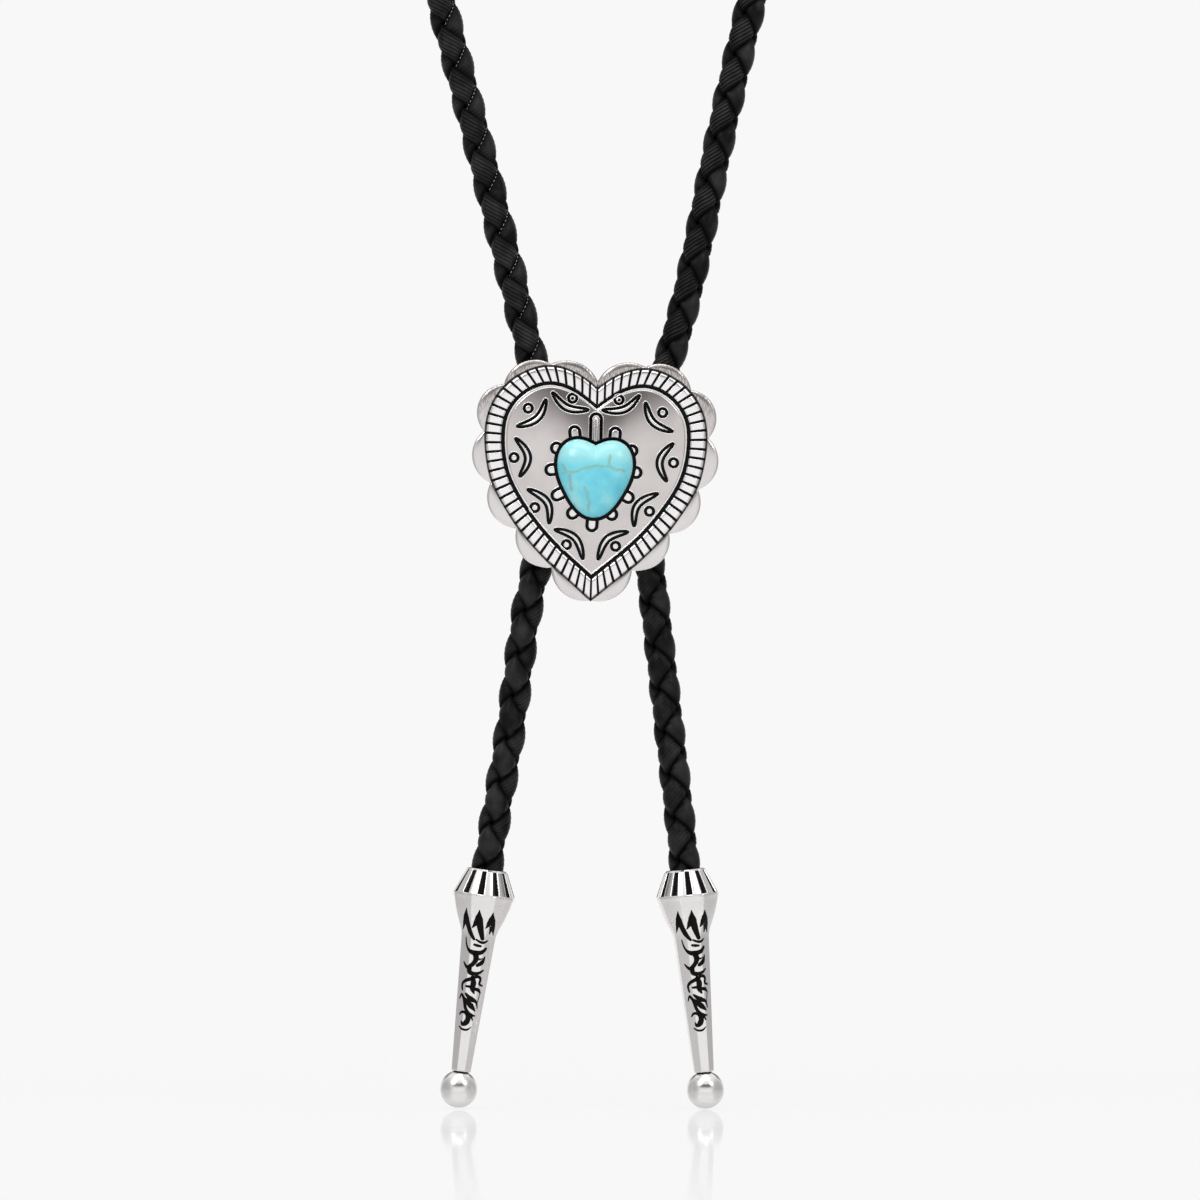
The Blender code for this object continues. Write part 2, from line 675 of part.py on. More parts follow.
def make_tip(name, top, lean, finish):
    bm = bmesh.new()
    tip_body(bm)
    tip = add_mesh(name, bm, finish, 25.0)
    tip.location = (top[0] * MM, CORD_Y, SLIDE_Z + top[1] * MM)
    tip.rotation_euler.y = lean
    raised = bmesh.new()
    for ends in SCROLLS:
        bent_strip(raised, np.array(ends) * MM, SCROLL_HALF_WIDTH, 6, on_tip, -RELIEF_ROOT, RELIEF)
    sunk = bmesh.new()
    for ends in FLAMES:
        bent_strip(sunk, np.array(ends) * MM, FLAME_HALF_WIDTH, 4, on_tip, -FLAME_DEPTH, RELIEF)
    for label, shape, operation in (("scrolls", raised, "UNION"), ("flames", sunk, "DIFFERENCE")):
        tool = add_mesh(f"{name}_{label}", shape, finish)
        tool.parent = tip
        tool.hide_render = True
        tool.display_type = "WIRE"
        step = tip.modifiers.new(label, "BOOLEAN")
        step.operation = operation
        step.object = tool
    return tip


def main():
    clear_scene()
    silver = material("antique silver", (0.70, 0.68, 0.66), 0.18, 1.0)
    turquoise = material("turquoise", (0.20, 0.68, 0.78), 0.22, 0.0)
    leather = material("black leather", (0.010, 0.010, 0.011), 0.45, 0.0)

    slide = make_slide(silver)
    stone = make_stone(turquoise)
    for piece in (slide, stone):
        piece.location = (0.0, SLIDE_BACK_Y, SLIDE_Z)
        piece.rotation_euler.y = SLIDE_TILT
    make_clip(silver)

    add_tube("cord_neck_loop", LOOP_ROUTE, LOOP_POINTS, leather)
    left = tail_route(LEFT_TAIL_ROUTE, LEFT_TIP_TOP, LEFT_TIP_LEAN)
    right = tail_route(RIGHT_TAIL_ROUTE, RIGHT_TIP_TOP, RIGHT_TIP_LEAN)
    add_tube("cord_tail_left", left, TAIL_POINTS, leather)
    add_tube("cord_tail_right", right, TAIL_POINTS, leather)
    make_tip("tip_left", LEFT_TIP_TOP, LEFT_TIP_LEAN, silver)
    make_tip("tip_right", RIGHT_TIP_TOP, RIGHT_TIP_LEAN, silver)


main()
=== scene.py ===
# The looks of a bolo tie as it is worn: a cast heart slide, a turquoise heart, a braided cord and two tips.
# Sizes are in mm until a mesh is made. The cord rests on the nape at the origin, and the front faces -Y.
import math

import bmesh
import bpy
import numpy as np
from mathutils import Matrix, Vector


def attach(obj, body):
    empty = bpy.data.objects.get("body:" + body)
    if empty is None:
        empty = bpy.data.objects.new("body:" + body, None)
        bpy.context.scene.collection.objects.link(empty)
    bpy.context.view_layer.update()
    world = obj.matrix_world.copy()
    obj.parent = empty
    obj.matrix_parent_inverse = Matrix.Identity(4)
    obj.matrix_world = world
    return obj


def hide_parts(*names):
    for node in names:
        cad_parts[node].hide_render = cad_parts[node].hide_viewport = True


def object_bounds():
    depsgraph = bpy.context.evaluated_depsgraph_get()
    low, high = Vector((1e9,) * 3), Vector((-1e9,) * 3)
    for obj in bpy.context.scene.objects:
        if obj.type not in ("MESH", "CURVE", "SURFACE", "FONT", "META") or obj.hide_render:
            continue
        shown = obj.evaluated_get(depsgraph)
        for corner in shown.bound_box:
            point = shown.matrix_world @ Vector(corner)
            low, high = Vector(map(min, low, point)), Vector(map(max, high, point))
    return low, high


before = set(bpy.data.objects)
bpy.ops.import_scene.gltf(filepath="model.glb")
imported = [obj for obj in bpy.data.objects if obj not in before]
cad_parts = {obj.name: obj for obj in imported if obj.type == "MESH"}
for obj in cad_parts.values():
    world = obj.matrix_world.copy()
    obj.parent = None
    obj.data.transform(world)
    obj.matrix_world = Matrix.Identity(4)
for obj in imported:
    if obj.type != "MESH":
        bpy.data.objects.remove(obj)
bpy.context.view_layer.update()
mm = 0.001


def linear(value):
    # sRGB hex turned to the linear colour that Blender's sockets hold; any other value stays as it is
    if not isinstance(value, str):
        return value
    parts = [int(value[i : i + 2], 16) / 255 for i in (1, 3, 5)]
    return tuple(c / 12.92 if c <= 0.04045 else ((c + 0.055) / 1.055) ** 2.4 for c in parts) + (1.0,)


def addNode(tree, kind, settings=None, links=None, out=0):
    # one node with its settings, which are properties or sockets by name or number, and its links; it
    # returns the output that is asked for, or the node itself
    node = tree.nodes.new("ShaderNode" + kind)
    for name, value in (settings or {}).items():
        if isinstance(name, str) and name in node.bl_rna.properties:
            setattr(node, name, value)
        else:
            node.inputs[name].default_value = linear(value)
    for name, source in (links or {}).items():
        tree.links.new(source, node.inputs[name])
    return node if out is None else node.outputs[out]


def newMaterial(name, settings):
    made = bpy.data.materials.new(name)
    made.use_nodes = True
    shader = made.node_tree.nodes["Principled BSDF"]
    for socket, value in settings.items():
        shader.inputs[socket].default_value = linear(value)
    return made, made.node_tree, shader


def smoothCurve(points, count):
    # natural cubic spline through the points, with the distance between them as its parameter
    points = np.asarray(points, float)
    steps = np.linalg.norm(np.diff(points, axis=0), axis=1)
    knots = np.concatenate(([0.0], np.cumsum(steps)))
    last = len(points) - 1
    system = np.eye(last + 1)
    right = np.zeros_like(points)
    for i in range(1, last):
        before, after = steps[i - 1], steps[i]
        system[i, i - 1 : i + 2] = before, 2 * (before + after), after
        right[i] = 6 * ((points[i + 1] - points[i]) / after - (points[i] - points[i - 1]) / before)
    bend = np.linalg.solve(system, right)
    at = np.linspace(0.0, knots[-1], count)
    k = np.clip(np.searchsorted(knots, at, side="right") - 1, 0, last - 1)
    span, ahead, past = steps[k][:, None], (knots[k + 1] - at)[:, None], (at - knots[k])[:, None]
    cubic = (bend[k] * ahead**3 + bend[k + 1] * past**3) / (6 * span)
    line = (points[k] / span - bend[k] * span / 6) * ahead
    return cubic + line + (points[k + 1] / span - bend[k + 1] * span / 6) * past


def distanceAlong(curve):
    return np.concatenate(([0.0], np.cumsum(np.linalg.norm(np.diff(curve, axis=0), axis=1))))


def pointsAt(curve, places):
    # the curve's points at these distances along it
    along = distanceAlong(curve)
    return np.stack([np.interp(places, along, curve[:, i]) for i in range(curve.shape[1])], axis=1)


def gridFaces(rows, columns, closedRows, closedColumns):
    # quads between neighbours of a grid, as indices into its flattened points
    r = np.arange(rows if closedRows else rows - 1)[:, None]
    c = np.arange(columns if closedColumns else columns - 1)[None, :]
    r2, c2 = (r + 1) % rows, (c + 1) % columns
    quads = np.stack([r * columns + c, r * columns + c2, r2 * columns + c2, r2 * columns + c], axis=-1)
    return quads.reshape(-1, 4)


def patch(points, closedRows=False, closedColumns=False, **values):
    # a closed shell on a grid of points; values are numbers per point, kept as attributes
    points = np.asarray(points, float)
    rows, columns = points.shape[:2]
    flat = points.reshape(-1, 3)
    faces = gridFaces(rows, columns, closedRows, closedColumns)
    a, b, c, d = (flat[faces[:, i]] for i in range(4))
    volume = np.einsum("ij,ij->", a, np.cross(b, c)) + np.einsum("ij,ij->", a, np.cross(c, d))
    if volume < 0:
        faces = faces[:, ::-1]
    spread = {k: np.broadcast_to(v, (rows, columns)).reshape(-1) for k, v in values.items()}
    return flat, faces, spread


def makePiece(name, patches, material, body="root", nodes=()):
    # one mesh object from shells, welded at seams and poles, in metres and in place
    counts = np.cumsum([0] + [len(p[0]) for p in patches])
    points = np.vstack([p[0] for p in patches]) * mm
    faces = np.vstack([p[1] + start for p, start in zip(patches, counts)])
    mesh = bpy.data.meshes.new(name)
    mesh.vertices.add(len(points))
    mesh.vertices.foreach_set("co", points.ravel())
    mesh.loops.add(faces.size)
    mesh.loops.foreach_set("vertex_index", faces.ravel())
    mesh.polygons.add(len(faces))
    mesh.polygons.foreach_set("loop_start", np.arange(0, faces.size, 4))
    mesh.update(calc_edges=True)
    for label in patches[0][2]:
        column = mesh.attributes.new(label, "FLOAT", "POINT")
        column.data.foreach_set("value", np.concatenate([p[2][label] for p in patches]).astype(np.float32))
    welded = bmesh.new()
    welded.from_mesh(mesh)
    bmesh.ops.remove_doubles(welded, verts=welded.verts, dist=1e-7)
    bmesh.ops.dissolve_degenerate(welded, edges=welded.edges, dist=1e-8)
    welded.to_mesh(mesh)
    welded.free()
    mesh.shade_smooth()
    mesh.materials.append(material)
    piece = bpy.data.objects.new(name, mesh)
    bpy.context.collection.objects.link(piece)
    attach(piece, body)
    if nodes:
        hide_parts(*nodes)
    print(f"{name}: {sum(len(f.vertices) - 2 for f in mesh.polygons)} triangles")
    return piece


# camera: straight on, through a long lens, taking in the photo's width at the slide
photoFrame = {
    "width": 219.5,            # what the frame takes in across, at the slide
    "middle": (1.0, -324.05),  # x and z in the middle of the frame
    "slideFront": -126.0,      # y of the slide's face
    "distance": 2000.0,        # from the lens to that face
    "sensor": 36.0,
    "clipEnd": 20.0,           # in metres
}
cameraData = bpy.data.cameras.new("camera")
cameraData.sensor_width = photoFrame["sensor"]
cameraData.lens = photoFrame["sensor"] * photoFrame["distance"] / photoFrame["width"]
cameraData.clip_end = photoFrame["clipEnd"]
camera = bpy.data.objects.new("camera", cameraData)
bpy.context.collection.objects.link(camera)
camera.location = (
    photoFrame["middle"][0] * mm,
    (photoFrame["slideFront"] - photoFrame["distance"]) * mm,
    photoFrame["middle"][1] * mm,
)
camera.rotation_euler = (math.pi / 2, 0.0, 0.0)
bpy.context.scene.camera = camera
bpy.context.scene.view_settings.view_transform = "Standard"
print("camera set")


# Leather: dyed calf strips, shaved thin and plaited round, wax-finished. It gives a near-black body
# with a soft satin sheen on each crown and fine lines along the strips. Painted shade darkens the creases
# and the grooves of the lines, and painted highlights lighten the ridges and make pale glints on a strip's
# edge.
leatherLook = {
    # the black is the painted shade in the creases; edge is the pale of the painted glints on a strip's edge
    "dark": "#101011", "worn": "#373738", "crease": "#000000", "edge": "#b4b2ac",
    "specular": 0.10, "crownRoughness": 0.33, "creaseRoughness": 0.70,
    "linesAcross": 8.5,        # rolled lines on one strip, about 0.6 mm apart
    "wander": 2.2,             # how far the patches shift a line, in radians
    "ridges": 0.26,            # painted highlight: how much paler the leather is between the lines
    "grooves": 0.6,            # painted shade: and how much darker in them
    "patchScale": 260.0,       # patches of wear, about 4 mm across
    "patchRange": (0.35, 0.75),
    "grainSize": 0.22,         # mm, coarser than real calf grain so that it shows
    "grainDepth": 0.35,        # beside the depth of a line
    "bump": 0.6, "bumpDepth": 0.00007,
    "dashLength": 0.62,        # mm from one painted glint on a strip's edge to the next
    "dashDrift": 9.0, "dashGap": 0.1,
    "edgePlace": -0.93, "edgeHalf": 0.014,  # where the painted glints show, as shares of the strip's half width
}


def leatherMaterial():
    look = leatherLook
    made, tree, shader = newMaterial("waxed calf leather, plaited",
                                     {"Specular IOR Level": look["specular"], "IOR": 1.5})
    across, along, rawEdge, lined, crease = (
        addNode(tree, "Attribute", {"attribute_name": name}, out="Fac")
        for name in ("across", "along", "rawEdge", "lined", "crease"))
    place = addNode(tree, "TexCoord", out="Object")
    grain = addNode(tree, "TexNoise",
                    {"Scale": 1 / (look["grainSize"] * mm), "Detail": 3.0, "Roughness": 0.6},
                    {"Vector": place})
    patches = addNode(tree, "TexNoise", {"Scale": look["patchScale"], "Detail": 2.0}, {"Vector": place})
    # rolled lines: a sine across the strip, shifted here and there by the patches
    turns = addNode(tree, "Math", {"operation": "MULTIPLY", 1: look["linesAcross"] * math.pi}, {0: across})
    wander = addNode(tree, "Math", {"operation": "MULTIPLY_ADD", 1: look["wander"]}, {0: patches, 2: turns})
    wave = addNode(tree, "Math", {"operation": "SINE"}, {0: wander})
    lines = addNode(tree, "Math", {"operation": "MULTIPLY"}, {0: wave, 1: lined})
    height = addNode(tree, "Math", {"operation": "MULTIPLY_ADD", 1: look["grainDepth"]},
                     {0: grain, 2: lines})
    bump = addNode(tree, "Bump", {"Strength": look["bump"], "Distance": look["bumpDepth"]},
                   {"Height": height})
    tree.links.new(bump, shader.inputs["Normal"])
    worn = addNode(tree, "MapRange", {"From Min": look["patchRange"][0], "From Max": look["patchRange"][1]},
                   {"Value": patches})
    # painted highlight: the ridges between the lines are made paler, over the paler patches of wear
    ridges = addNode(tree, "Math", {"operation": "MULTIPLY_ADD", "use_clamp": True, 1: look["ridges"]},
                     {0: lines, 2: worn})
    dyed = addNode(tree, "Mix", {"data_type": "RGBA", 6: look["dark"], 7: look["worn"]}, {0: ridges}, out=2)
    # painted shade in the grooves of the rolled lines
    groove = addNode(tree, "Math", {"operation": "MULTIPLY", "use_clamp": True, 1: -look["grooves"]},
                     {0: lines})
    # painted shade: black in the creases, where a strip goes under, and in the grooves of the lines
    dark = addNode(tree, "Math", {"operation": "MAXIMUM"}, {0: crease, 1: groove})
    body = addNode(tree, "Mix", {"data_type": "RGBA", 7: look["crease"]}, {0: dark, 6: dyed}, out=2)
    # the crowns are waxed and rubbed to a sheen, and the creases stay dull
    rubbed = addNode(tree, "MapRange",
                     {"To Min": look["crownRoughness"], "To Max": look["creaseRoughness"]}, {"Value": dark})
    tree.links.new(rubbed, shader.inputs["Roughness"])
    # painted glints: pale specks along one edge of a strip, a square wave along it, only where the glint mask
    # is 1
    uneven = addNode(tree, "Math", {"operation": "MULTIPLY", 1: look["dashDrift"]}, {0: patches})
    beat = addNode(tree, "Math", {"operation": "MULTIPLY_ADD", 1: 2 * math.pi / look["dashLength"]},
                   {0: along, 2: uneven})
    speck = addNode(tree, "Math", {"operation": "SINE"}, {0: beat})
    on = addNode(tree, "Math", {"operation": "GREATER_THAN", 1: look["dashGap"]}, {0: speck})
    band = addNode(tree, "Math", {"operation": "COMPARE", 1: look["edgePlace"], 2: look["edgeHalf"]},
                   {0: across})
    bare = addNode(tree, "Math", {"operation": "MULTIPLY"}, {0: rawEdge, 1: band})
    dash = addNode(tree, "Math", {"operation": "MULTIPLY"}, {0: on, 1: bare})
    skin = addNode(tree, "Mix", {"data_type": "RGBA", 7: look["edge"]}, {0: dash, 6: body}, out=2)
    tree.links.new(skin, shader.inputs["Base Color"])
    return made


braid = {
    "turn": 15.8,          # length of one full turn of a strand
    "middle": 1.87,        # radius where the strands pass through each other's level
    "swing": 0.60,         # how far a strand goes over and under
    "sharpness": 0.55,     # below 1 holds it longer at the top and bottom of that
    "halfThickness": 0.55,
    "widthShare": 0.90,    # of the quarter turn to each side that a strand covers
    "puff": 0.7,           # below 1 gives a strip a flatter back and steeper edges
    "edgeDip": 0.12,       # how far its edges dip
    "darkFrom": 0.5, "darkOver": 0.36,  # where painted shade darkens it towards its edges, as shares of its half width
    "darkAtMiddle": 0.75, "darkByLift": 2.2,  # and where painted shade darkens it as it goes under: how dark at the middle level, and how much less a full lift makes that
                                              # how much less a full lift makes that
    "coreRadius": 1.15, "coreSides": 10,
    "leftAzimuth": 84.0,   # which side of the plait faces the camera, in degrees, left and right
    "rightAzimuth": 38.0,
    "azimuthHold": 120.0,  # from each end of the loop, before the one turns into the other
    "startPhase": 20.0,
    "rawUntil": 150.0,     # the painted glints on the strips' edge show up to this distance
    # how deep the rolled lines are at these distances along the cord, which is below 0 on the left tail
    "linedLeft": ((-1.0, 0.0, 300.0, 500.0), (0.10, 0.9, 0.9, 0.06)),
    "linedRight": ((-1.0, 0.0, 300.0, 500.0, 800.0, 804.0), (0.45, 0.12, 0.12, 1.5, 1.5, 0.28)),
    "closeStretch": 112.0, "closeStep": 0.5,  # at both ends of the loop, which the photo shows
    "farSteps": 480, "tailSteps": 230, "routeSteps": 6000,
}
slideZ, cordY = -302.0, -119.0
leftX, rightX, seamGap = -8.2, 9.2, 0.3
neckY, neckStretch = -48.0, 1.6  # the neck's axis, and how much less its depth counts than its width
loopRoute = (
    (leftX, cordY, slideZ + seamGap / 2), (-8.2, cordY, slideZ + 3), (-8.4, cordY, slideZ + 7),
    (-11.4, -118.8, slideZ + 21.9), (-19.6, -118.2, slideZ + 55), (-28.1, -117.6, slideZ + 87.7),
    (-38.6, -117, slideZ + 130), (-47.6, -114.8, slideZ + 171), (-54.6, -108.6, -98),
    (-60, -95.5, -69), (-63, -76, -45.5), (-62.6, -52, -27.5), (-55.5, -28, -14), (-40, -9, -5),
    (-20, 0.4, -1), (0, 2.9, 0), (20, 0.4, -1), (40, -9, -5), (55.5, -28, -14), (62.6, -52, -27.5),
    (63, -76, -45.5), (60, -95.5, -69), (54.6, -108.6, -98), (47.8, -114.8, slideZ + 171),
    (38.9, -117, slideZ + 130), (28.8, -117.6, slideZ + 87.7), (21.4, -118.2, slideZ + 55),
    (13.4, -118.8, slideZ + 21.3), (9.4, cordY, slideZ + 7), (9.2, cordY, slideZ + 3),
    (rightX, cordY, slideZ + seamGap / 2),
)
leftTailRoute = (
    (leftX, cordY, slideZ - seamGap / 2), (-8.2, cordY, slideZ - 3), (-8.4, cordY, slideZ - 6.5),
    (-10.7, cordY, slideZ - 16.2), (-15.2, cordY, slideZ - 44),
)
rightTailRoute = (
    (rightX, cordY, slideZ - seamGap / 2), (9.2, cordY, slideZ - 3), (9.25, cordY, slideZ - 6.5),
    (10.3, cordY, slideZ - 17.1), (13.5, cordY, slideZ - 44),
)
tips = {
    # how far a tip is turned about its own axis is in degrees, as its lean is
    "left": {"top": (-19.7, -71.5), "lean": 7.4, "turned": 0.0},
    "right": {"top": (16.6, -71.5), "lean": -5.3, "turned": 10.0},
}
socketReach = 7.7


def tailToTip(route, tip):
    # a tail's route carried on to the top of its tip and down the tip's socket
    x, z = tip["top"]
    lean = math.radians(tip["lean"])
    end = (x - socketReach * math.sin(lean), cordY, slideZ + z - socketReach * math.cos(lean))
    return route + ((x, cordY, slideZ + z), end)


def cordFrame(centre):
    # outward and sideways directions across the cord; outward points away from the neck's axis
    run = np.gradient(centre, axis=0)
    run /= np.linalg.norm(run, axis=1)[:, None]
    outward = np.stack([centre[:, 0], (centre[:, 1] - neckY) * neckStretch, 0 * centre[:, 0]], axis=1)
    outward -= run * np.einsum("ij,ij->i", outward, run)[:, None]
    outward /= np.linalg.norm(outward, axis=1)[:, None]
    return outward, np.cross(run, outward)


def strandPatch(centre, distance, azimuth, family, which, pale):
    # A strand's place: radius = middle + swing * f with f = cos(a + p) cos(a - p), where a is the angle
    # round the cord and p the phase, 2 pi * distance / turn; family +1 winds one way and -1 the other.
    # Its section is half thickness * sqrt(1 - v^2)^puff, with v from -1 to 1 across a quarter turn each
    # way, on close points outside and few underneath, where nothing shows.
    outward, side = cordFrame(centre)
    phase = (2 * math.pi * distance / braid["turn"] + math.radians(braid["startPhase"]))[:, None]
    loop = math.pi * np.concatenate([np.linspace(0, 1, 13), (1.25, 1.5, 1.75)])[None, :]
    v = np.cos(loop)
    angle = family * phase + v * math.pi / 2 * braid["widthShare"] + which * math.pi
    weave = np.cos(angle + phase) * np.cos(angle - phase)
    lift = family * np.sign(weave) * np.abs(weave) ** braid["sharpness"]
    thick = braid["halfThickness"] * np.sign(np.sin(loop)) * np.abs(np.sin(loop)) ** braid["puff"]
    radius = braid["middle"] + braid["swing"] * lift + thick - braid["edgeDip"] * v**6
    seen = (angle + np.radians(azimuth)[:, None])[..., None]
    points = centre[:, None, :] + radius[..., None] * (
        np.cos(seen) * outward[:, None, :] + np.sin(seen) * side[:, None, :])
    caps = [np.broadcast_to(points[i].mean(axis=0), points[:1].shape) for i in (0, -1)]
    closed = np.concatenate([caps[0], points, caps[1]])
    ends = np.concatenate([distance[:1], distance, distance[-1:]])[:, None]
    nearEdge = (np.abs(v) - braid["darkFrom"]) / braid["darkOver"]
    # painted shade: darker towards a strip's edges and where it goes under its neighbours
    crease = np.maximum(nearEdge, braid["darkAtMiddle"] - braid["darkByLift"] * lift).clip(0, 1) ** 1.5
    crease = np.concatenate([crease[:1], crease, crease[-1:]])
    # rolled lines show on one family of strips on the left, on the other on the right
    lined = np.interp(ends, *braid["linedLeft" if family < 0 else "linedRight"])
    # painted glints go on one edge of these strips where pale is set, near the start of the loop
    return patch(closed, False, True, across=v, rawEdge=1.0 * pale * (ends < braid["rawUntil"]),
                 crease=crease, lined=lined, along=ends)


def corePatch(centre):
    # the dark filler inside the plait: a plain tube, closed at both ends, all in the black of the painted
    # crease shade
    outward, side = cordFrame(centre)
    turn = np.linspace(0, 2 * math.pi, braid["coreSides"], endpoint=False)[None, :, None]
    ring = centre[:, None, :] + braid["coreRadius"] * (
        np.cos(turn) * outward[:, None, :] + np.sin(turn) * side[:, None, :])
    caps = [np.broadcast_to(centre[i][None, None, :], ring[:1].shape) for i in (0, -1)]
    ring = np.concatenate([caps[0], ring, caps[1]])
    return patch(ring, False, True, across=0.0, rawEdge=0.0, crease=1.0, lined=0.0, along=0.0)


def braidedCord(name, route, spacing, startDistance, direction, pale, node):
    # four strands and a core along a smooth route; distance runs on from the neighbouring piece's
    curve = smoothCurve(route, braid["routeSteps"])
    length = distanceAlong(curve)[-1]
    places = spacing(length)
    centre = pointsAt(curve, places)
    if direction < 0:
        centre, places = centre[::-1], places[::-1]
    distance = startDistance + direction * places
    azimuth = np.interp(distance, *azimuthPlan)
    # pale: whether one family of strips gets the painted glints on its edge
    shells = [strandPatch(centre, distance, azimuth, family, which, pale and family > 0)
              for family in (1, -1) for which in (0, 1)]
    shells.append(corePatch(centre))
    made = makePiece(name, shells, leather, nodes=[node])
    return made, length, curve


leather = leatherMaterial()
loopLength = distanceAlong(smoothCurve(loopRoute, braid["routeSteps"]))[-1]
azimuthPlan = ((0.0, braid["azimuthHold"], loopLength - braid["azimuthHold"], loopLength),
               (braid["leftAzimuth"], braid["leftAzimuth"], braid["rightAzimuth"], braid["rightAzimuth"]))


def loopSpacing(length):
    # closer steps on the two stretches that the photo shows
    near = braid["closeStretch"]
    close = np.arange(0, near, braid["closeStep"])
    return np.concatenate([close, np.linspace(near, length - near, braid["farSteps"])[:-1],
                           length - close[::-1]])


def tailSpacing(length):
    return np.linspace(0.0, length, braid["tailSteps"])


_, loopMeasure, _ = braidedCord("braidedNeckLoop", loopRoute, loopSpacing, 0.0, 1, True, "cord_neck_loop")
tailLeft, leftMeasure, leftCurve = braidedCord(
    "braidedTailLeft", tailToTip(leftTailRoute, tips["left"]), tailSpacing, -seamGap, -1, False,
    "cord_tail_left")
tailRight, rightMeasure, rightCurve = braidedCord(
    "braidedTailRight", tailToTip(rightTailRoute, tips["right"]), tailSpacing, loopLength + seamGap, 1,
    False, "cord_tail_right")
print(f"cord: loop {loopMeasure:.1f} mm, tails {leftMeasure:.1f} and {rightMeasure:.1f} mm")


# Silver: zinc alloy, cast, thick silver plate, tumbled and buffed. It gives a warm pale mirror with faint
# cloudy wear. The recesses hold black enamel, filled in and wiped off, which reflects little. Painted shade
# makes the top scallops darker grey among scratch streaks, and puts black marks in the notches between them.
silverLook = {
    "silver": "#dfd9d8", "cloud": "#d4cdcc", "polished": "#fdfbfb", "tarnish": "#85817c",
    "enamel": "#030303", "enamelSpecular": 0.12,
    "roughness": 0.16, "cloudRoughness": 0.1, "scratchRoughness": 0.2,  # what clouds and scratches add
    "cloudSize": 6.0,          # mm
    "cloudRange": (0.35, 0.75), "roughRange": (0.3, 0.8),
    "scratchSpacing": 0.12,    # mm between buffing marks, coarser than real ones so that they show
    "scratchStretch": 0.12, "scratchTurn": 0.5, "scratchRange": (0.42, 0.62),
    "bump": 0.3, "bumpDepth": 0.00002, "plainMarks": 0.03,  # what shows of the marks below the streaked top
}


def silverMaterial():
    look = silverLook
    made, tree, shader = newMaterial("silver plate with black enamel",
                                     {"Specular IOR Level": look["enamelSpecular"]})
    enamel, worn, bright = (addNode(tree, "Attribute", {"attribute_name": name}, out="Fac")
                            for name in ("enamel", "worn", "bright"))
    place = addNode(tree, "TexCoord", out="Object")
    clouds = addNode(tree, "TexNoise", {"Scale": 1 / (look["cloudSize"] * mm), "Detail": 4.0},
                     {"Vector": place})
    stretched = addNode(tree, "Mapping", {"Scale": (1.0, 1.0, look["scratchStretch"]),
                                          "Rotation": (0.0, look["scratchTurn"], 0.0)}, {"Vector": place})
    marks = addNode(tree, "TexNoise", {"Scale": 1 / (look["scratchSpacing"] * mm), "Detail": 3.0},
                    {"Vector": stretched})
    cloudShare, roughShare, markShare = (
        addNode(tree, "MapRange", {"From Min": look[span][0], "From Max": look[span][1], "To Min": least,
                                   "To Max": most}, {"Value": source})
        for span, source, least, most in (
            ("cloudRange", clouds, 0.0, 1.0),
            ("roughRange", clouds, look["roughness"], look["roughness"] + look["cloudRoughness"]),
            ("scratchRange", marks, 0.0, 1.0)))
    cloudy = addNode(tree, "Mix", {"data_type": "RGBA", 6: look["silver"], 7: look["cloud"]},
                     {0: cloudShare}, out=2)
    plate = addNode(tree, "Mix", {"data_type": "RGBA", 7: look["polished"]}, {0: bright, 6: cloudy}, out=2)
    # painted shade with scratch streaks: darker grey on the top scallops
    wornShare = addNode(tree, "Math", {"operation": "MULTIPLY"}, {0: markShare, 1: worn})
    dulled = addNode(tree, "Mix", {"data_type": "RGBA", 7: look["tarnish"]}, {0: wornShare, 6: plate},
                     out=2)
    isEnamel = addNode(tree, "Math", {"operation": "GREATER_THAN", 1: 0.5}, {0: enamel})
    colour = addNode(tree, "Mix", {"data_type": "RGBA", 7: look["enamel"]}, {0: isEnamel, 6: dulled}, out=2)
    tree.links.new(colour, shader.inputs["Base Color"])
    metal = addNode(tree, "Math", {"operation": "SUBTRACT", 0: 1.0}, {1: isEnamel})
    tree.links.new(metal, shader.inputs["Metallic"])
    rough = addNode(tree, "Math", {"operation": "MULTIPLY_ADD", 1: look["scratchRoughness"]},
                    {0: wornShare, 2: roughShare})
    tree.links.new(rough, shader.inputs["Roughness"])
    scored = addNode(tree, "Math",
                     {"operation": "MULTIPLY_ADD", 1: 1 - look["plainMarks"], 2: look["plainMarks"]},
                     {0: worn})
    depth = addNode(tree, "Math", {"operation": "MULTIPLY"}, {0: marks, 1: scored})
    bump = addNode(tree, "Bump", {"Strength": look["bump"], "Distance": look["bumpDepth"]},
                   {"Height": depth})
    tree.links.new(bump, shader.inputs["Normal"])
    return made


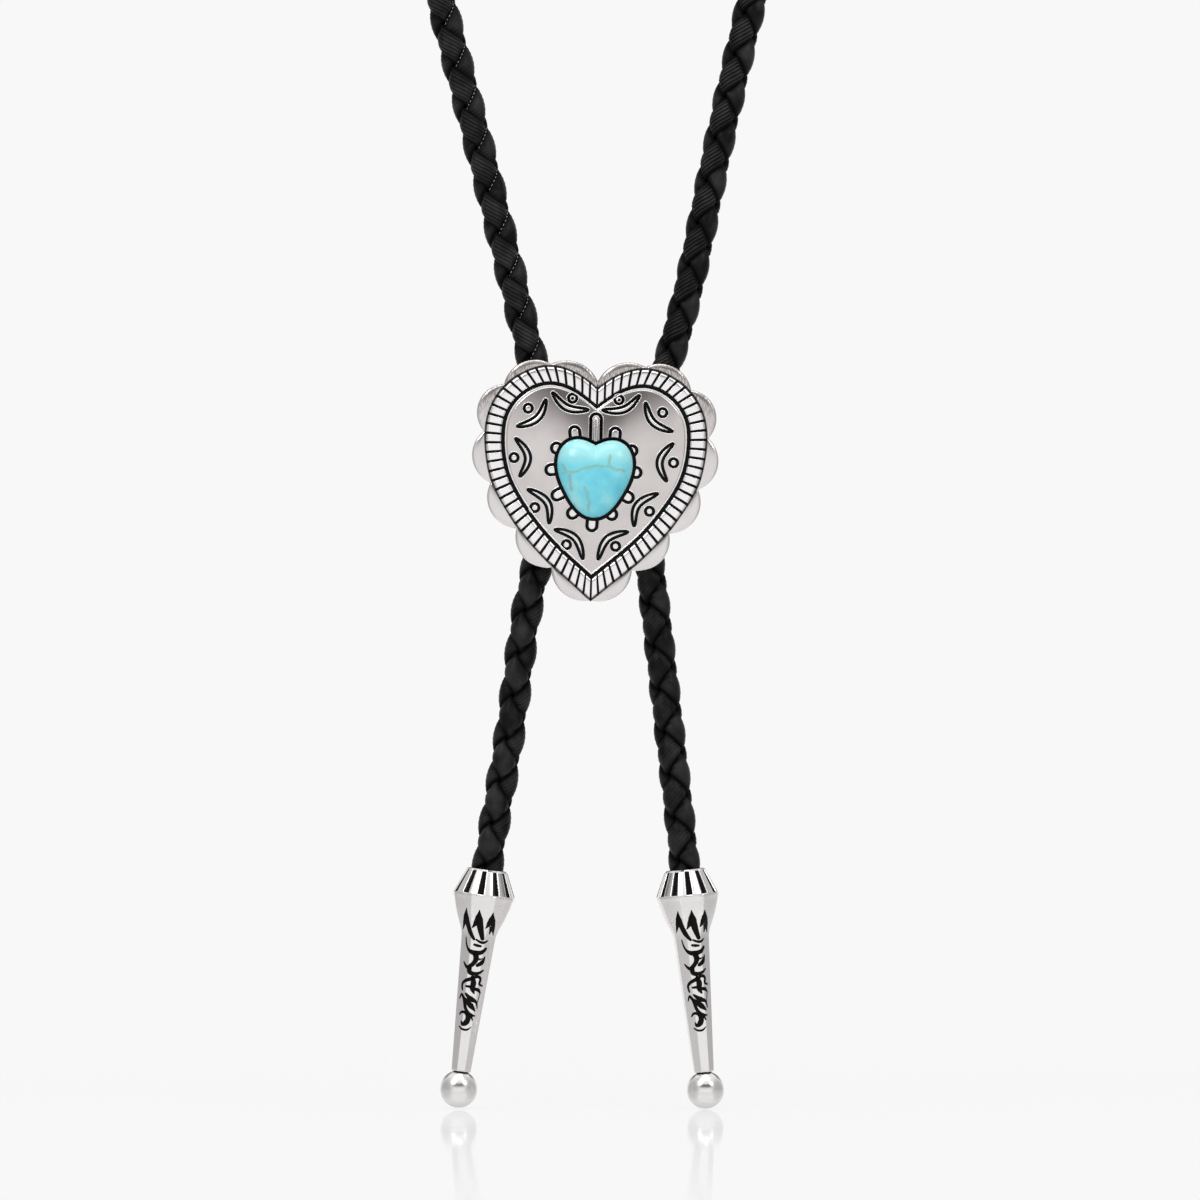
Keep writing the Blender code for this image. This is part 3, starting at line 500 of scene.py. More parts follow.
heart = {
    "width": 40.2, "height": 42.3,  # without the scallops
    "centreShare": 0.518,           # how much of the height lies below the slide's centre
    "tilt": 1.9,                    # degrees that the slide hangs askew
    "backY": -123.8,
    # right half from cleft to tip, as shares of half the width and of the height
    "half": ((0, 0.908), (0.114, 0.950), (0.239, 0.981), (0.428, 1), (0.622, 0.981), (0.836, 0.910),
             (0.970, 0.804), (1, 0.690), (0.928, 0.499), (0.771, 0.364), (0.532, 0.222), (0.229, 0.091),
             (0, 0)),
    # scallops: how far one stands out, its share of that from the cleft down, and the points along one
    "lobeRise": 2.6, "lobeShares": (0.75, 0.90, 1.12, 1.05, 1.0, 1.0, 0.85), "lobeSteps": 40,
    "cuspOutside": 0.5, "cleftCuspRise": 1.5, "footOutside": 0.12, "underInside": 1.2,
    "valley": 1.12, "crown": 1.62,  # level at a cusp and on the middle of a scallop
    "edge": 0.9, "edgeRise": 0.42,  # level of the outer edge, and its rise in a scallop's middle
    "wornFrom": 8.0, "wornOver": 8.0,  # height above the centre where the scratches and painted shade start, and their fade
    "lobeBright": 0.35,
    # rim: lines on one side, their half width as a share of a rib, their depth and the lands' crown
    "ribsASide": 37, "lineShare": 0.14, "lineDepth": 0.24, "landCrown": 0.06, "lineSlope": 0.012,
    "cleftNarrows": 0.19, "narrowsOver": 0.11,  # share of its width lost at the cleft, and how far along
    "rimWidth": 3.4, "leanEase": 0.45, "easeOver": 0.12,
    "panelLevel": 2.3, "domeRise": 1.9, "panelReach": 0.985, "panelRings": 48, "panelFoot": 1.2,
}


def halfHeart(shares, width, height, centreShare, roundTip):
    # right half of a heart's outline from cleft to tip, as close points (x, z) from its centre
    below = height * centreShare
    half = [(x * width / 2, z * height - below) for x, z in shares]
    if not roundTip:
        return smoothCurve(half, 1600)
    curve = smoothCurve(half + [(-x, z) for x, z in half[-2:-5:-1]], 2400)
    curve = curve[: int(np.argmax(curve[:, 0] < 0))]
    return np.vstack([curve, (0.0, -below)])


def inset(curve, distance):
    # a half outline moved inwards, or outwards if negative, and cut or mitred where it meets x = 0
    run = np.gradient(curve, axis=0)
    run /= np.linalg.norm(run, axis=1)[:, None]
    moved = curve + distance * np.stack([run[:, 1], -run[:, 0]], axis=1)
    right = np.flatnonzero(moved[:, 0] > 0)
    first, last = right[0], right[-1]
    start = moved[first] - run[first] * (moved[first, 0] / run[first, 0])
    end = moved[last] - run[last] * (moved[last, 0] / run[last, 0])
    return np.vstack([start, moved[first : last + 1], end])


def sharesOf(curve, shares):
    # points at these shares of a curve's length
    return pointsAt(curve, np.asarray(shares) * distanceAlong(curve)[-1])


def acrossRim(distance, shares):
    # places on the inset outline for these shares of the outer one: its own equal shares, eased towards
    # straight across the rim (leanEase) away from the cleft and the tip
    moved = inset(heartHalf, distance)
    run = np.gradient(heartHalf, axis=0)
    sideways = heartHalf[:, 0] + distance * run[:, 1] / np.linalg.norm(run, axis=1)
    right = np.flatnonzero(sideways > 0)
    outer, inner = distanceAlong(heartHalf), distanceAlong(moved)
    straight = np.interp(shares, outer[right] / outer[-1], inner[1:-1] / inner[-1])
    ease = heart["leanEase"] * np.minimum(1.0, np.minimum(shares, 1 - shares) / heart["easeOver"])
    return pointsAt(moved, (shares + ease * (straight - shares)) * inner[-1])


def mirrored(values):
    # values along a half outline carried on round the other half
    return np.concatenate([values, values[-2:0:-1]])


def whole(half):
    # a closed ring from a half outline: cleft, right side, tip, left side
    return np.vstack([half, half[-2:0:-1] * (-1, 1)])


def towardsCleft(moved, outline, shares):
    # the rim narrows at the cleft: a line inside it is drawn back towards the outline, by
    # cleftNarrows * exp(-(share / narrowsOver)^2) of the way
    back = heart["cleftNarrows"] * np.exp(-((shares / heart["narrowsOver"]) ** 2))[:, None]
    return moved + back * (outline - moved)


heartHalf = halfHeart(heart["half"], heart["width"], heart["height"], heart["centreShare"], False)
closeShares = np.linspace(0, 1, 1600)
panelHalf = towardsCleft(sharesOf(inset(heartHalf, heart["rimWidth"]), closeShares),
                         sharesOf(heartHalf, closeShares), closeShares)
panelAngles = np.arctan2(panelHalf[:, 0], panelHalf[:, 1])
panelReach = np.hypot(panelHalf[:, 0], panelHalf[:, 1])


def dome(x, z):
    # the panel's level: panelLevel + domeRise * (1 - share^2), where share is the way out to the rim
    share = np.hypot(x, z) / np.interp(np.arctan2(np.abs(x), z), panelAngles, panelReach)
    return heart["panelLevel"] + heart["domeRise"] * (1 - np.minimum(share, 1.0) ** 2)


def onSlide(flat, level):
    # from the slide's own x, z and level over its back to the hanging, slightly turned slide
    x, z = flat[..., 0], flat[..., 1]
    a = math.radians(heart["tilt"])
    level = np.broadcast_to(level, x.shape)
    return np.stack([x * math.cos(a) + z * math.sin(a), heart["backY"] - level,
                     z * math.cos(a) - x * math.sin(a) + slideZ], axis=-1)


def ringShell(rings, levels, enamel, worn=0.0, closedAcross=False, bright=0.0):
    # a shell from closed rings (ring, point, 2) and a level and a mark for each of their points
    rings = np.asarray(rings)
    return patch(onSlide(rings, levels), closedAcross, True, enamel=enamel, worn=worn, bright=bright)


def borderShell():
    # Scallops: each is an arc from cusp to cusp. Across it q runs from its edge, 0, to the heart's foot, 1.
    # The level is edge + 0.2 q + (crown - edge - 0.1) sin(pi q), where edge and crown rise along it by
    # sin^0.6 of the way from cusp to cusp.
    steps = heart["lobeSteps"]
    count = len(heart["lobeShares"])
    cusps = sharesOf(inset(heartHalf, -heart["cuspOutside"]), np.linspace(0, 1, count + 1))
    cusps[0] = (0.0, heartHalf[0, 1] + heart["cleftCuspRise"])
    cusps[-1] = (0.0, heartHalf[-1, 1] - heart["cuspOutside"] / 2)
    border = []
    for first, last, share in zip(cusps, cusps[1:], heart["lobeShares"]):
        chord = last - first
        length, rise = np.linalg.norm(chord), heart["lobeRise"] * share
        radius = (length**2 / 4 + rise**2) / (2 * rise)
        reach = math.asin(length / 2 / radius)
        reach = math.pi - reach if rise > length / 2 else reach
        turn = np.linspace(-reach, reach, steps + 1)[:-1, None]
        along = chord / length
        left = np.array((-along[1], along[0]))
        border.append((first + last) / 2 + left * (rise - radius)
                      + radius * (np.sin(turn) * along + np.cos(turn) * left))
    border = np.vstack(border + [cusps[-1:]])
    shares = np.linspace(0, 1, len(border))
    outer, foot, under = (whole(half)[None] for half in (
        border, sharesOf(inset(heartHalf, -heart["footOutside"]), shares),
        sharesOf(inset(heartHalf, heart["underInside"]), shares)))
    phase = np.arange(len(border)) % steps / steps
    swell = mirrored(np.sin(math.pi * phase) ** 0.6)[None, :]
    crown = heart["valley"] + (heart["crown"] - heart["valley"]) * swell
    edge = heart["edge"] + heart["edgeRise"] * swell
    q = np.array((0, 0, 0.015, 0.04, 0.08, 0.14, 0.22, 0.32, 0.42, 0.52, 0.62, 0.72, 0.82, 0.92, 1))[:, None]
    rounded = np.array((0.12, 0.70, 0.88, 0.96, 0.99) + (1.0,) * 10)[:, None]  # the edge is rounded off
    level = rounded * (edge + 0.2 * q + (crown - edge - 0.1) * np.sin(math.pi * q))
    middle = np.zeros_like(foot)
    back = np.concatenate([middle, under, outer * 0.99])
    top = outer * (1 - q[..., None]) + foot * q[..., None]
    rings = np.concatenate([back, top, under, middle])
    zero = np.zeros((1, level.shape[1]))
    levels = np.concatenate([zero, zero, zero, level, zero + 1.4, zero + 1.4])
    # painted shadow: black marks in the notches where two scallops meet, on the outermost rings and again
    # near the foot, in the enamel mark
    cleft = mirrored(np.abs(phase - np.round(phase)) < 0.02)[None, :]
    enamel = np.zeros_like(levels)
    for first, last in ((0, 5), (9, 15)):
        enamel[len(back) + first : len(back) + last] = cleft
    # painted shade and scratch streaks: towards the top lobes, which tilt up to the dark ceiling, the plate
    # is painted darker grey and less bright
    worn = np.clip((rings[..., 1] - heart["wornFrom"]) / heart["wornOver"], 0, 1)
    return ringShell(rings, levels, enamel, worn, bright=heart["lobeBright"] * (1 - worn))


def rimShell():
    # Ribbed rim: a ring of lands between black lines. Each profile point is a distance in from the
    # heart's outline, a level and a mark for enamel; a line sinks by lineDepth, and a land is crowned
    # along the ring by landCrown * (1 - u^6), with u from -1 to 1 between its lines.
    profile = np.array((
        (-0.33, 0.9, 1), (-0.31, 1.5, 1), (0.06, 2.10, 1), (0.07, 2.16, 0), (0.14, 2.46, 0), (0.25, 2.62, 0),
        (0.5, 2.70, 0), (0.9, 2.74, 0), (1.45, 2.75, 0), (2.1, 2.74, 0), (2.45, 2.70, 0), (2.66, 2.62, 0),
        (2.78, 2.48, 0), (2.83, 2.34, 0), (2.84, 2.32, 1), (2.90, 2.24, 1), (3.40, 2.26, 1), (3.41, 2.28, 0),
        (3.46, 2.38, 0), (3.55, 2.44, 0), (3.66, 2.42, 0), (3.80, 2.20, 0), (3.80, 0.9, 0),
    ))
    half = heart["lineShare"]
    within = np.array((-half, -half / 2, 0.0, half / 2, half, half + heart["lineSlope"], 0.2, 0.35, 0.5, 0.65,
                       0.8, 1 - half - heart["lineSlope"]))
    ribs = heart["ribsASide"]
    shares = (np.arange(ribs)[:, None] + within[None, :]).ravel()[2:] / ribs
    line = np.broadcast_to(np.abs(within) <= half + 1e-6, (ribs, len(within))).ravel()[2:]
    land = np.broadcast_to(1 - (2 * np.abs(within - 0.5)) ** 6, (ribs, len(within))).ravel()[2:]
    shares = np.concatenate([shares, [(ribs - half) / ribs, (ribs - half / 2) / ribs, 1.0]])
    line = np.concatenate([line, [1, 1, 1]])
    land = np.concatenate([land, [0, 0, 0]])
    line, land = mirrored(line)[None, :], mirrored(land)[None, :]
    outline = acrossRim(0.0, shares)
    rings = np.array([whole(towardsCleft(acrossRim(d, shares), outline, shares)) for d in profile[:, 0]])
    d, level, mark = profile[:, :1], profile[:, 1:2], profile[:, 2:3]
    onLand = ((d > 0.06) & (d < 2.835)).astype(float)
    sink = onLand * np.minimum(1.0, np.minimum(d, 2.85 - d) / 0.2)
    levels = level - heart["lineDepth"] * sink * line + heart["landCrown"] * sink * land * (1 - line)
    enamel = np.maximum(mark, onLand * line)
    return ringShell(rings, levels, enamel, 0.0, True, bright=1.0)


def panelShell():
    # the domed panel: rings at shares of the panel's outline, on the dome's level
    outline = whole(sharesOf(panelHalf, np.linspace(0, 1, 201)))
    share = np.linspace(0, heart["panelReach"], heart["panelRings"])[:, None, None]
    rings = share * outline[None]
    levels = dome(rings[..., 0], rings[..., 1])
    levels[0] = heart["panelLevel"] + heart["domeRise"]
    bottom = np.concatenate([rings[-1:], 0 * rings[-1:]])
    foot = np.full((2, levels.shape[1]), heart["panelFoot"])
    return ringShell(np.concatenate([rings, bottom]), np.concatenate([levels, foot]), 0.0)


motifs = {
    "lip": 0.15, "line": 0.60, "crescentLine": 0.56,  # widths of the raised lip and of the black line in it
    "shift": (-0.25, 0.2),                            # all of them from the slide's centre
    "foot": 0.35,                                     # how far they reach into the panel
    "dotReach": 1.20, "crescentEnd": 0.55, "crescentMiddle": 0.95, "petalReach": 1.38, "stemReach": 1.42,
    "dots": ((4.25, 14.5), (12.3, 12.4), (14.6, 3.3), (10.5, -5.7), (4.5, -12.3)),
    "crescents": (((8.0, 15.5), (5.3, 12.8), (1.2, 12.5)), ((9.1, 14.2), (10.4, 10.8), (14.3, 9.0)),
                  ((14.5, 6.9), (12.05, 3.3), (13.5, -0.2)), ((12.0, -2.4), (8.1, -4.95), (7.8, -8.6)),
                  ((6.8, -9.6), (3.0, -11.0), (1.4, -14.9))),
    "petals": ((3.85, 9.6), (8.0, 5.8), (9.0, 1.1), (7.6, -3.9), (4.45, -7.4)),
    "lowerPetal": (0.0, -9.9), "stem": (0.15, 12.1),
}


def inlay(spine, reach, steps, surface=dome):
    # A motif: rings run round a line of points, each at a distance in from the outer edge, which lies
    # reach away from the line. Each step is (distance in, height over the surface, mark); at the middle
    # the rings close on the line. A last ring below the surface closes the shell from underneath.
    spine = np.asarray(spine, float)
    reach = np.broadcast_to(reach, len(spine))
    run = np.gradient(spine, axis=0) if len(spine) > 1 else np.array([[0.0, 1.0]])
    run = run / np.linalg.norm(run, axis=1)[:, None]
    normal = np.stack([-run[:, 1], run[:, 0]], axis=1)
    cap = np.linspace(0, math.pi, 18)[1:-1, None]
    endCap = np.cos(cap) * normal[-1] + np.sin(cap) * run[-1]
    startCap = -np.cos(cap) * normal[0] - np.sin(cap) * run[0]
    order = np.concatenate([np.arange(len(spine)), np.full(len(cap), -1), np.arange(len(spine))[::-1],
                            np.zeros(len(cap), int)])
    middle, far = spine[order], reach[order]
    outward = np.vstack([normal, endCap, -normal[::-1], startCap])
    steps = np.array(steps)
    left = np.maximum(far[None, :] - steps[:, :1], 0.0)
    rings = middle[None] + left[..., None] * outward[None]
    levels = surface(rings[..., 0], rings[..., 1]) + steps[:, 1:2]
    enamel = np.broadcast_to(steps[:, 2:3], levels.shape)
    bottom = np.stack([middle, middle + far[:, None] * outward])
    low = surface(bottom[..., 0], bottom[..., 1]) - motifs["foot"]
    return (np.concatenate([bottom, rings]), np.concatenate([low, levels]),
            np.concatenate([np.zeros((2, levels.shape[1])), enamel]))


def outlineSteps(inner, line):
    # a raised lip, a black line in its groove, then what the line encloses
    lip = motifs["lip"]
    steps = [(0.0, -0.2, 0), (0.02, 0.02, 0), (lip * 0.5, 0.08, 0), (lip, 0.07, 0), (lip + 0.01, 0.04, 1),
             (lip + 0.06, 0.025, 1), (lip + line - 0.05, 0.025, 1), (lip + line, 0.05, 1)]
    return steps + [(lip + line + d, h, m) for d, h, m in inner]


def petalInlay(end, around, reach, steps):
    # a finger from under the stone's edge to its outer end
    start = around[np.argmin(np.linalg.norm(around - end, axis=1))]
    way = (end - start) / np.linalg.norm(end - start)
    last = end - way * (reach - motifs["lip"])
    if np.dot(last - start, way) < 0.3:
        start = last - 0.3 * way
    return inlay(np.linspace(start, last, 12), reach, steps)


def motifShells():
    # dots, crescents and petals on both sides, a petal below the stone and the stem above it; each step is
    # (distance in, height, mark for enamel), as inlay says
    made = []
    raised = [(0.01, 0.08, 0), (0.09, 0.13, 0), (0.22, 0.15, 0), (9.0, 0.15, 0)]
    ring = [(0.01, 0.08, 0), (0.08, 0.12, 0), (0.22, 0.12, 0), (0.23, 0.12, 1), (9.0, 0.10, 1)]
    arch = [(0.01, 0.08, 0), (0.08, 0.13, 0), (0.24, 0.12, 0), (0.25, 0.10, 1), (0.37, 0.10, 1),
            (0.38, 0.12, 0), (9.0, 0.13, 0)]
    thinCore, ringed = (outlineSteps(inner, motifs["crescentLine"]) for inner in (raised, ring))
    silverCore, arched = (outlineSteps(inner, motifs["line"]) for inner in (raised, arch))
    shift = np.array(motifs["shift"])
    seat = inset(stoneHalf, 0.35)
    around = np.vstack([seat, seat * (-1, 1)])
    for side in (-1, 1):
        for i, (x, z) in enumerate(motifs["dots"]):
            made.append(inlay([shift + (side * x, z)], motifs["dotReach"], ringed if i == 0 else thinCore))
        for ends in motifs["crescents"]:
            line = smoothCurve(shift + np.array(ends) * (side, 1), 60)
            middle = pointsAt(line, np.linspace(0.25, distanceAlong(line)[-1] - 0.25, 44))
            swell = np.sin(np.linspace(0, math.pi, 44)) ** 0.6
            reach = motifs["crescentEnd"] + (motifs["crescentMiddle"] - motifs["crescentEnd"]) * swell
            made.append(inlay(middle, reach, thinCore))
        for x, z in motifs["petals"]:
            made.append(petalInlay(shift + (side * x, z), around, motifs["petalReach"], silverCore))
    made.append(petalInlay(shift + motifs["lowerPetal"], around, motifs["petalReach"], silverCore))
    stemEnd = shift + motifs["stem"]
    made.append(petalInlay(stemEnd, seat[:1], motifs["stemReach"], arched))
    return [ringShell(*one, bright=0.8) for one in made]


def stoneLineShell():
    # the black line round the stone: a flat-topped ring that its bed of enamel fills
    # its profile is points (distance in from the stone's outline, height over the panel)
    profile = ((-0.66, -0.3), (-0.66, 0.10), (-0.60, 0.20), (-0.48, 0.24), (0.1, 0.24), (0.3, 0.2),
               (0.3, -0.3))
    shares = np.linspace(0, 1, 161)
    rings = np.array([whole(sharesOf(inset(stoneHalf, d), shares)) for d, h in profile])
    levels = dome(rings[..., 0], rings[..., 1]) + np.array([h for d, h in profile])[:, None]
    return ringShell(rings, levels, 1.0, 0.0, True)


stoneLook = {
    "width": 13.8, "height": 14.2,
    "centreShare": 0.493,    # how much of the height lies below the stone's centre
    # right half from cleft to tip, as shares of half the width and of the height
    "half": ((0, 0.93), (0.2, 0.975), (0.52, 1), (0.84, 0.92), (1, 0.70), (0.95, 0.53), (0.76, 0.32),
             (0.47, 0.115), (0.23, 0.025), (0, 0)),
    "seatDepth": 0.55, "gap": 0.3, "girdle": 0.9, "domeRise": 3.3,
    "body": "#74e0f2", "pale": "#b4f6f6", "deep": "#60d0e6", "vein": "#8fb096",
    "roughness": 0.26, "coat": 0.25, "coatRoughness": 0.16, "glow": 0.08, "glowDepth": 0.0006,
    "cloudScale": 220.0, "deepRange": (0.30, 0.52), "paleRange": (0.52, 0.80),  # clouds about 5 mm across
    "grainScale": 2600.0, "grainRange": (0.3, 0.7), "leastVein": 0.55,  # specks that break up the veins
    "bump": 0.12, "bumpDepth": 0.00003,
    "upperFrom": 1.8, "upperOver": 2.6, "upperShare": 0.75,  # painted highlight: a paler zone towards the top, above the long vein
    "veinHalf": 0.27, "veinShare": 0.8, "wobble": 0.10, "fineWobble": 0.03,
    # matrix veins, listed as short runs of (x, z)
    "veins": (((-5.4, 1.0), (-4.2, 1.1), (-2.6, 1.6), (-0.7, 2.35), (1.6, 2.45), (2.4, 2.4)),
              ((2.4, 2.4), (3.9, 1.9), (5.4, 1.7)),
              ((-4.4, 1.2), (-4.5, -0.6), (-4.0, -2.2)),
              ((-1.9, -1.6), (-1.2, -2.6), (-0.9, -4.0), (-0.9, -5.9)),
              ((-5.9, 2.4), (-5.2, 1.2)),
              ((2.4, 2.4), (2.7, 3.4), (2.6, 4.4))),
}
stoneHalf = halfHeart(stoneLook["half"], stoneLook["width"], stoneLook["height"],
                      stoneLook["centreShare"], True)


def turquoiseMaterial():
    # Turquoise: a cabochon, dyed and stabilised, ground and polished to a wet gloss. It gives an even
    # blue-green, lighter clouds, soft tan matrix veins, sharp reflections and a painted highlight that pales
    # its top.
    look = stoneLook
    made, tree, shader = newMaterial("polished turquoise", {
        "Roughness": look["roughness"], "IOR": 1.6, "Coat Weight": look["coat"],
        "Coat Roughness": look["coatRoughness"], "Subsurface Weight": look["glow"],
        "Subsurface Radius": (0.5, 1.0, 1.0), "Subsurface Scale": look["glowDepth"]})
    vein, upper = (addNode(tree, "Attribute", {"attribute_name": name}, out="Fac")
                   for name in ("vein", "upper"))
    place = addNode(tree, "TexCoord", out="Object")
    clouds = addNode(tree, "TexNoise", {"Scale": look["cloudScale"], "Detail": 5.0, "Roughness": 0.55},
                     {"Vector": place})
    grain = addNode(tree, "TexNoise", {"Scale": look["grainScale"], "Detail": 2.0}, {"Vector": place})
    low, high, broken = (
        addNode(tree, "MapRange", {"From Min": look[span][0], "From Max": look[span][1], "To Min": least},
                {"Value": source})
        for span, source, least in (("deepRange", clouds, 0.0), ("paleRange", clouds, 0.0),
                                    ("grainRange", grain, look["leastVein"])))
    base = addNode(tree, "Mix", {"data_type": "RGBA", 6: look["deep"], 7: look["body"]}, {0: low}, out=2)
    # the pale colour takes both the pale clouds and the painted highlight at the top
    paleShare = addNode(tree, "Math", {"operation": "MAXIMUM"}, {0: high, 1: upper})
    lighter = addNode(tree, "Mix", {"data_type": "RGBA", 7: look["pale"]}, {0: paleShare, 6: base}, out=2)
    veinShare = addNode(tree, "Math", {"operation": "MULTIPLY"}, {0: vein, 1: broken})
    skin = addNode(tree, "Mix", {"data_type": "RGBA", 7: look["vein"]}, {0: veinShare, 6: lighter}, out=2)
    tree.links.new(skin, shader.inputs["Base Color"])
    bump = addNode(tree, "Bump", {"Strength": look["bump"], "Distance": look["bumpDepth"]},
                   {"Height": clouds})
    tree.links.new(bump, shader.inputs["Normal"])
    return made


def stoneShell():
    # the cabochon: level = base + girdle + rise * (1 - share^2.6)^0.55 over a straight girdle
    look = stoneLook
    seatEdge = inset(stoneHalf, -look["gap"])
    base = float(np.min(dome(seatEdge[:, 0], seatEdge[:, 1]))) - look["seatDepth"] + look["gap"]
    outline = whole(sharesOf(stoneHalf, np.linspace(0, 1, 171)))
    share = np.concatenate([[1.0, 0.9985, 0.996, 0.99, 0.98], np.linspace(0.965, 0.0, 104)])
    rings = share[:, None, None] * outline[None]
    top = base + look["girdle"] + look["domeRise"] * (1 - share**2.6) ** 0.55
    levels = np.broadcast_to(top[:, None], rings.shape[:2])
    bottom = np.stack([0 * outline, outline])
    rings = np.concatenate([bottom, rings])
    levels = np.concatenate([np.full((2, levels.shape[1]), base), levels])
    vein = np.zeros(levels.shape)
    x, z = rings[..., 0], rings[..., 1]
    # the veins waver: sines of the place shift it a little
    wide, fine = look["wobble"], look["fineWobble"]
    wobbleX = x + wide * np.sin(3.1 * z + 1.3 * x) + fine * np.sin(9.0 * z)
    wobbleZ = z + wide * np.sin(2.7 * x - 1.1 * z) + fine * np.sin(8.0 * x)
    for run in look["veins"]:
        for (x1, z1), (x2, z2) in zip(run, run[1:]):
            # each point's mark is veinShare * exp(-(distance to this stretch / veinHalf)^2), if that is more
            dx, dz = x2 - x1, z2 - z1
            t = np.clip(((wobbleX - x1) * dx + (wobbleZ - z1) * dz) / (dx * dx + dz * dz), 0, 1)
            gap = np.hypot(wobbleX - x1 - t * dx, wobbleZ - z1 - t * dz)
            vein = np.maximum(vein, look["veinShare"] * np.exp(-((gap / look["veinHalf"]) ** 2)))
    # painted highlight: paler above the long vein, towards the top
    upper = look["upperShare"] * np.clip((z - look["upperFrom"]) / look["upperOver"], 0, 1)
    return patch(onSlide(rings, levels), False, True, vein=vein, upper=upper)


silver = silverMaterial()
makePiece("castHeartSlide", [borderShell(), rimShell(), panelShell(), stoneLineShell()], silver,
          nodes=["slide_plate"])
makePiece("panelMotifs", motifShells(), silver, nodes=["slide_plate"])
makePiece("turquoiseHeart", [stoneShell()], turquoiseMaterial(), nodes=["stone"])
print("slide and stone made")


# Tips: the same plate and enamel. A grid of turn and depth; the depth runs down a profile of radii, the
# turn has an eight-sided section with a flat front.
tipShape = {
    # radii from the top rim to the ball, and the heights between them
    "rim": 3.6, "shoulder": 5.85, "neck": 3.38, "end": 1.9, "groove": 1.3, "ball": 3.45,
    "crownHeight": 4.9, "coneHeight": 6.8, "taperHeight": 25.64, "grooveHeight": 0.16,
    "bulge": 0.24, "neckSwell": 0.10, "neckSwellHeight": 0.45, "ballNeck": 1.12,
    "socket": 3.2, "socketDepth": 8.0,
    "slots": 12, "slotHalf": 0.47, "slotDepth": 0.24, "slotMargin": 0.35, "slotTurn": -6.0,
    "slotRadius": 4.6,
    "landCrown": 0.05, "facets": 8, "cornerCut": 0.992, "columns": 240, "bright": 0.7,
}


def plainRadius(depth):
    # radius of the plain tip at a depth below its top rim: straight stretches, + bulge * sin(pi u) down
    # the cone under the shoulder, and a slight swell at the neck, which is a bell of the depth
    t = tipShape
    neck = t["crownHeight"] + t["coneHeight"]
    plain = np.interp(depth, (0.0, t["crownHeight"], neck, neck + t["taperHeight"]),
                      (t["rim"], t["shoulder"], t["neck"], t["end"]))
    u = np.clip((depth - t["crownHeight"]) / t["coneHeight"], 0, 1)
    swell = t["neckSwell"] * np.exp(-(((depth - neck) / t["neckSwellHeight"]) ** 2))
    return plain + t["bulge"] * np.sin(math.pi * u) + swell


def facet(turn, share):
    # reach of an eight-sided section at an angle: cos(half wedge) / cos(angle off the flat's middle), with
    # its corners cut a little; share 0 is round
    wedge = 2 * math.pi / tipShape["facets"]
    off = (turn + wedge / 2) % wedge - wedge / 2
    flat = np.minimum(math.cos(wedge / 2) / np.cos(off), tipShape["cornerCut"])
    return 1 + share * (flat - 1)


def facetShare(depth):
    # round at the rim, eight-sided from the shoulder on, and round again at the groove
    t = tipShape
    end = t["crownHeight"] + t["coneHeight"] + t["taperHeight"]
    return np.interp(depth, (0.0, t["crownHeight"], t["crownHeight"] + 0.6, end - 0.4, end),
                     (0.0, 0.2, 0.6, 1.0, 0.9))


def onTipFront(flat, level, tip):
    # a place on a tip: sideways along its surface, depth below its rim, level over its surface
    side, depth = flat[..., 0], -flat[..., 1]
    radius = plainRadius(depth)
    turn = side / radius
    reach = radius * facet(turn, facetShare(depth)) + level
    turn = turn + math.radians(tip["turned"])
    return np.stack([reach * np.sin(turn), -reach * np.cos(turn), -depth], axis=-1)


def hangTip(points, tip):
    # from a tip's own axes to its place under the slide
    a = math.radians(tip["lean"])
    x, y, z = points[..., 0], points[..., 1], points[..., 2]
    return np.stack([tip["top"][0] + x * math.cos(a) + z * math.sin(a), cordY + y,
                     slideZ + tip["top"][1] + z * math.cos(a) - x * math.sin(a)], axis=-1)


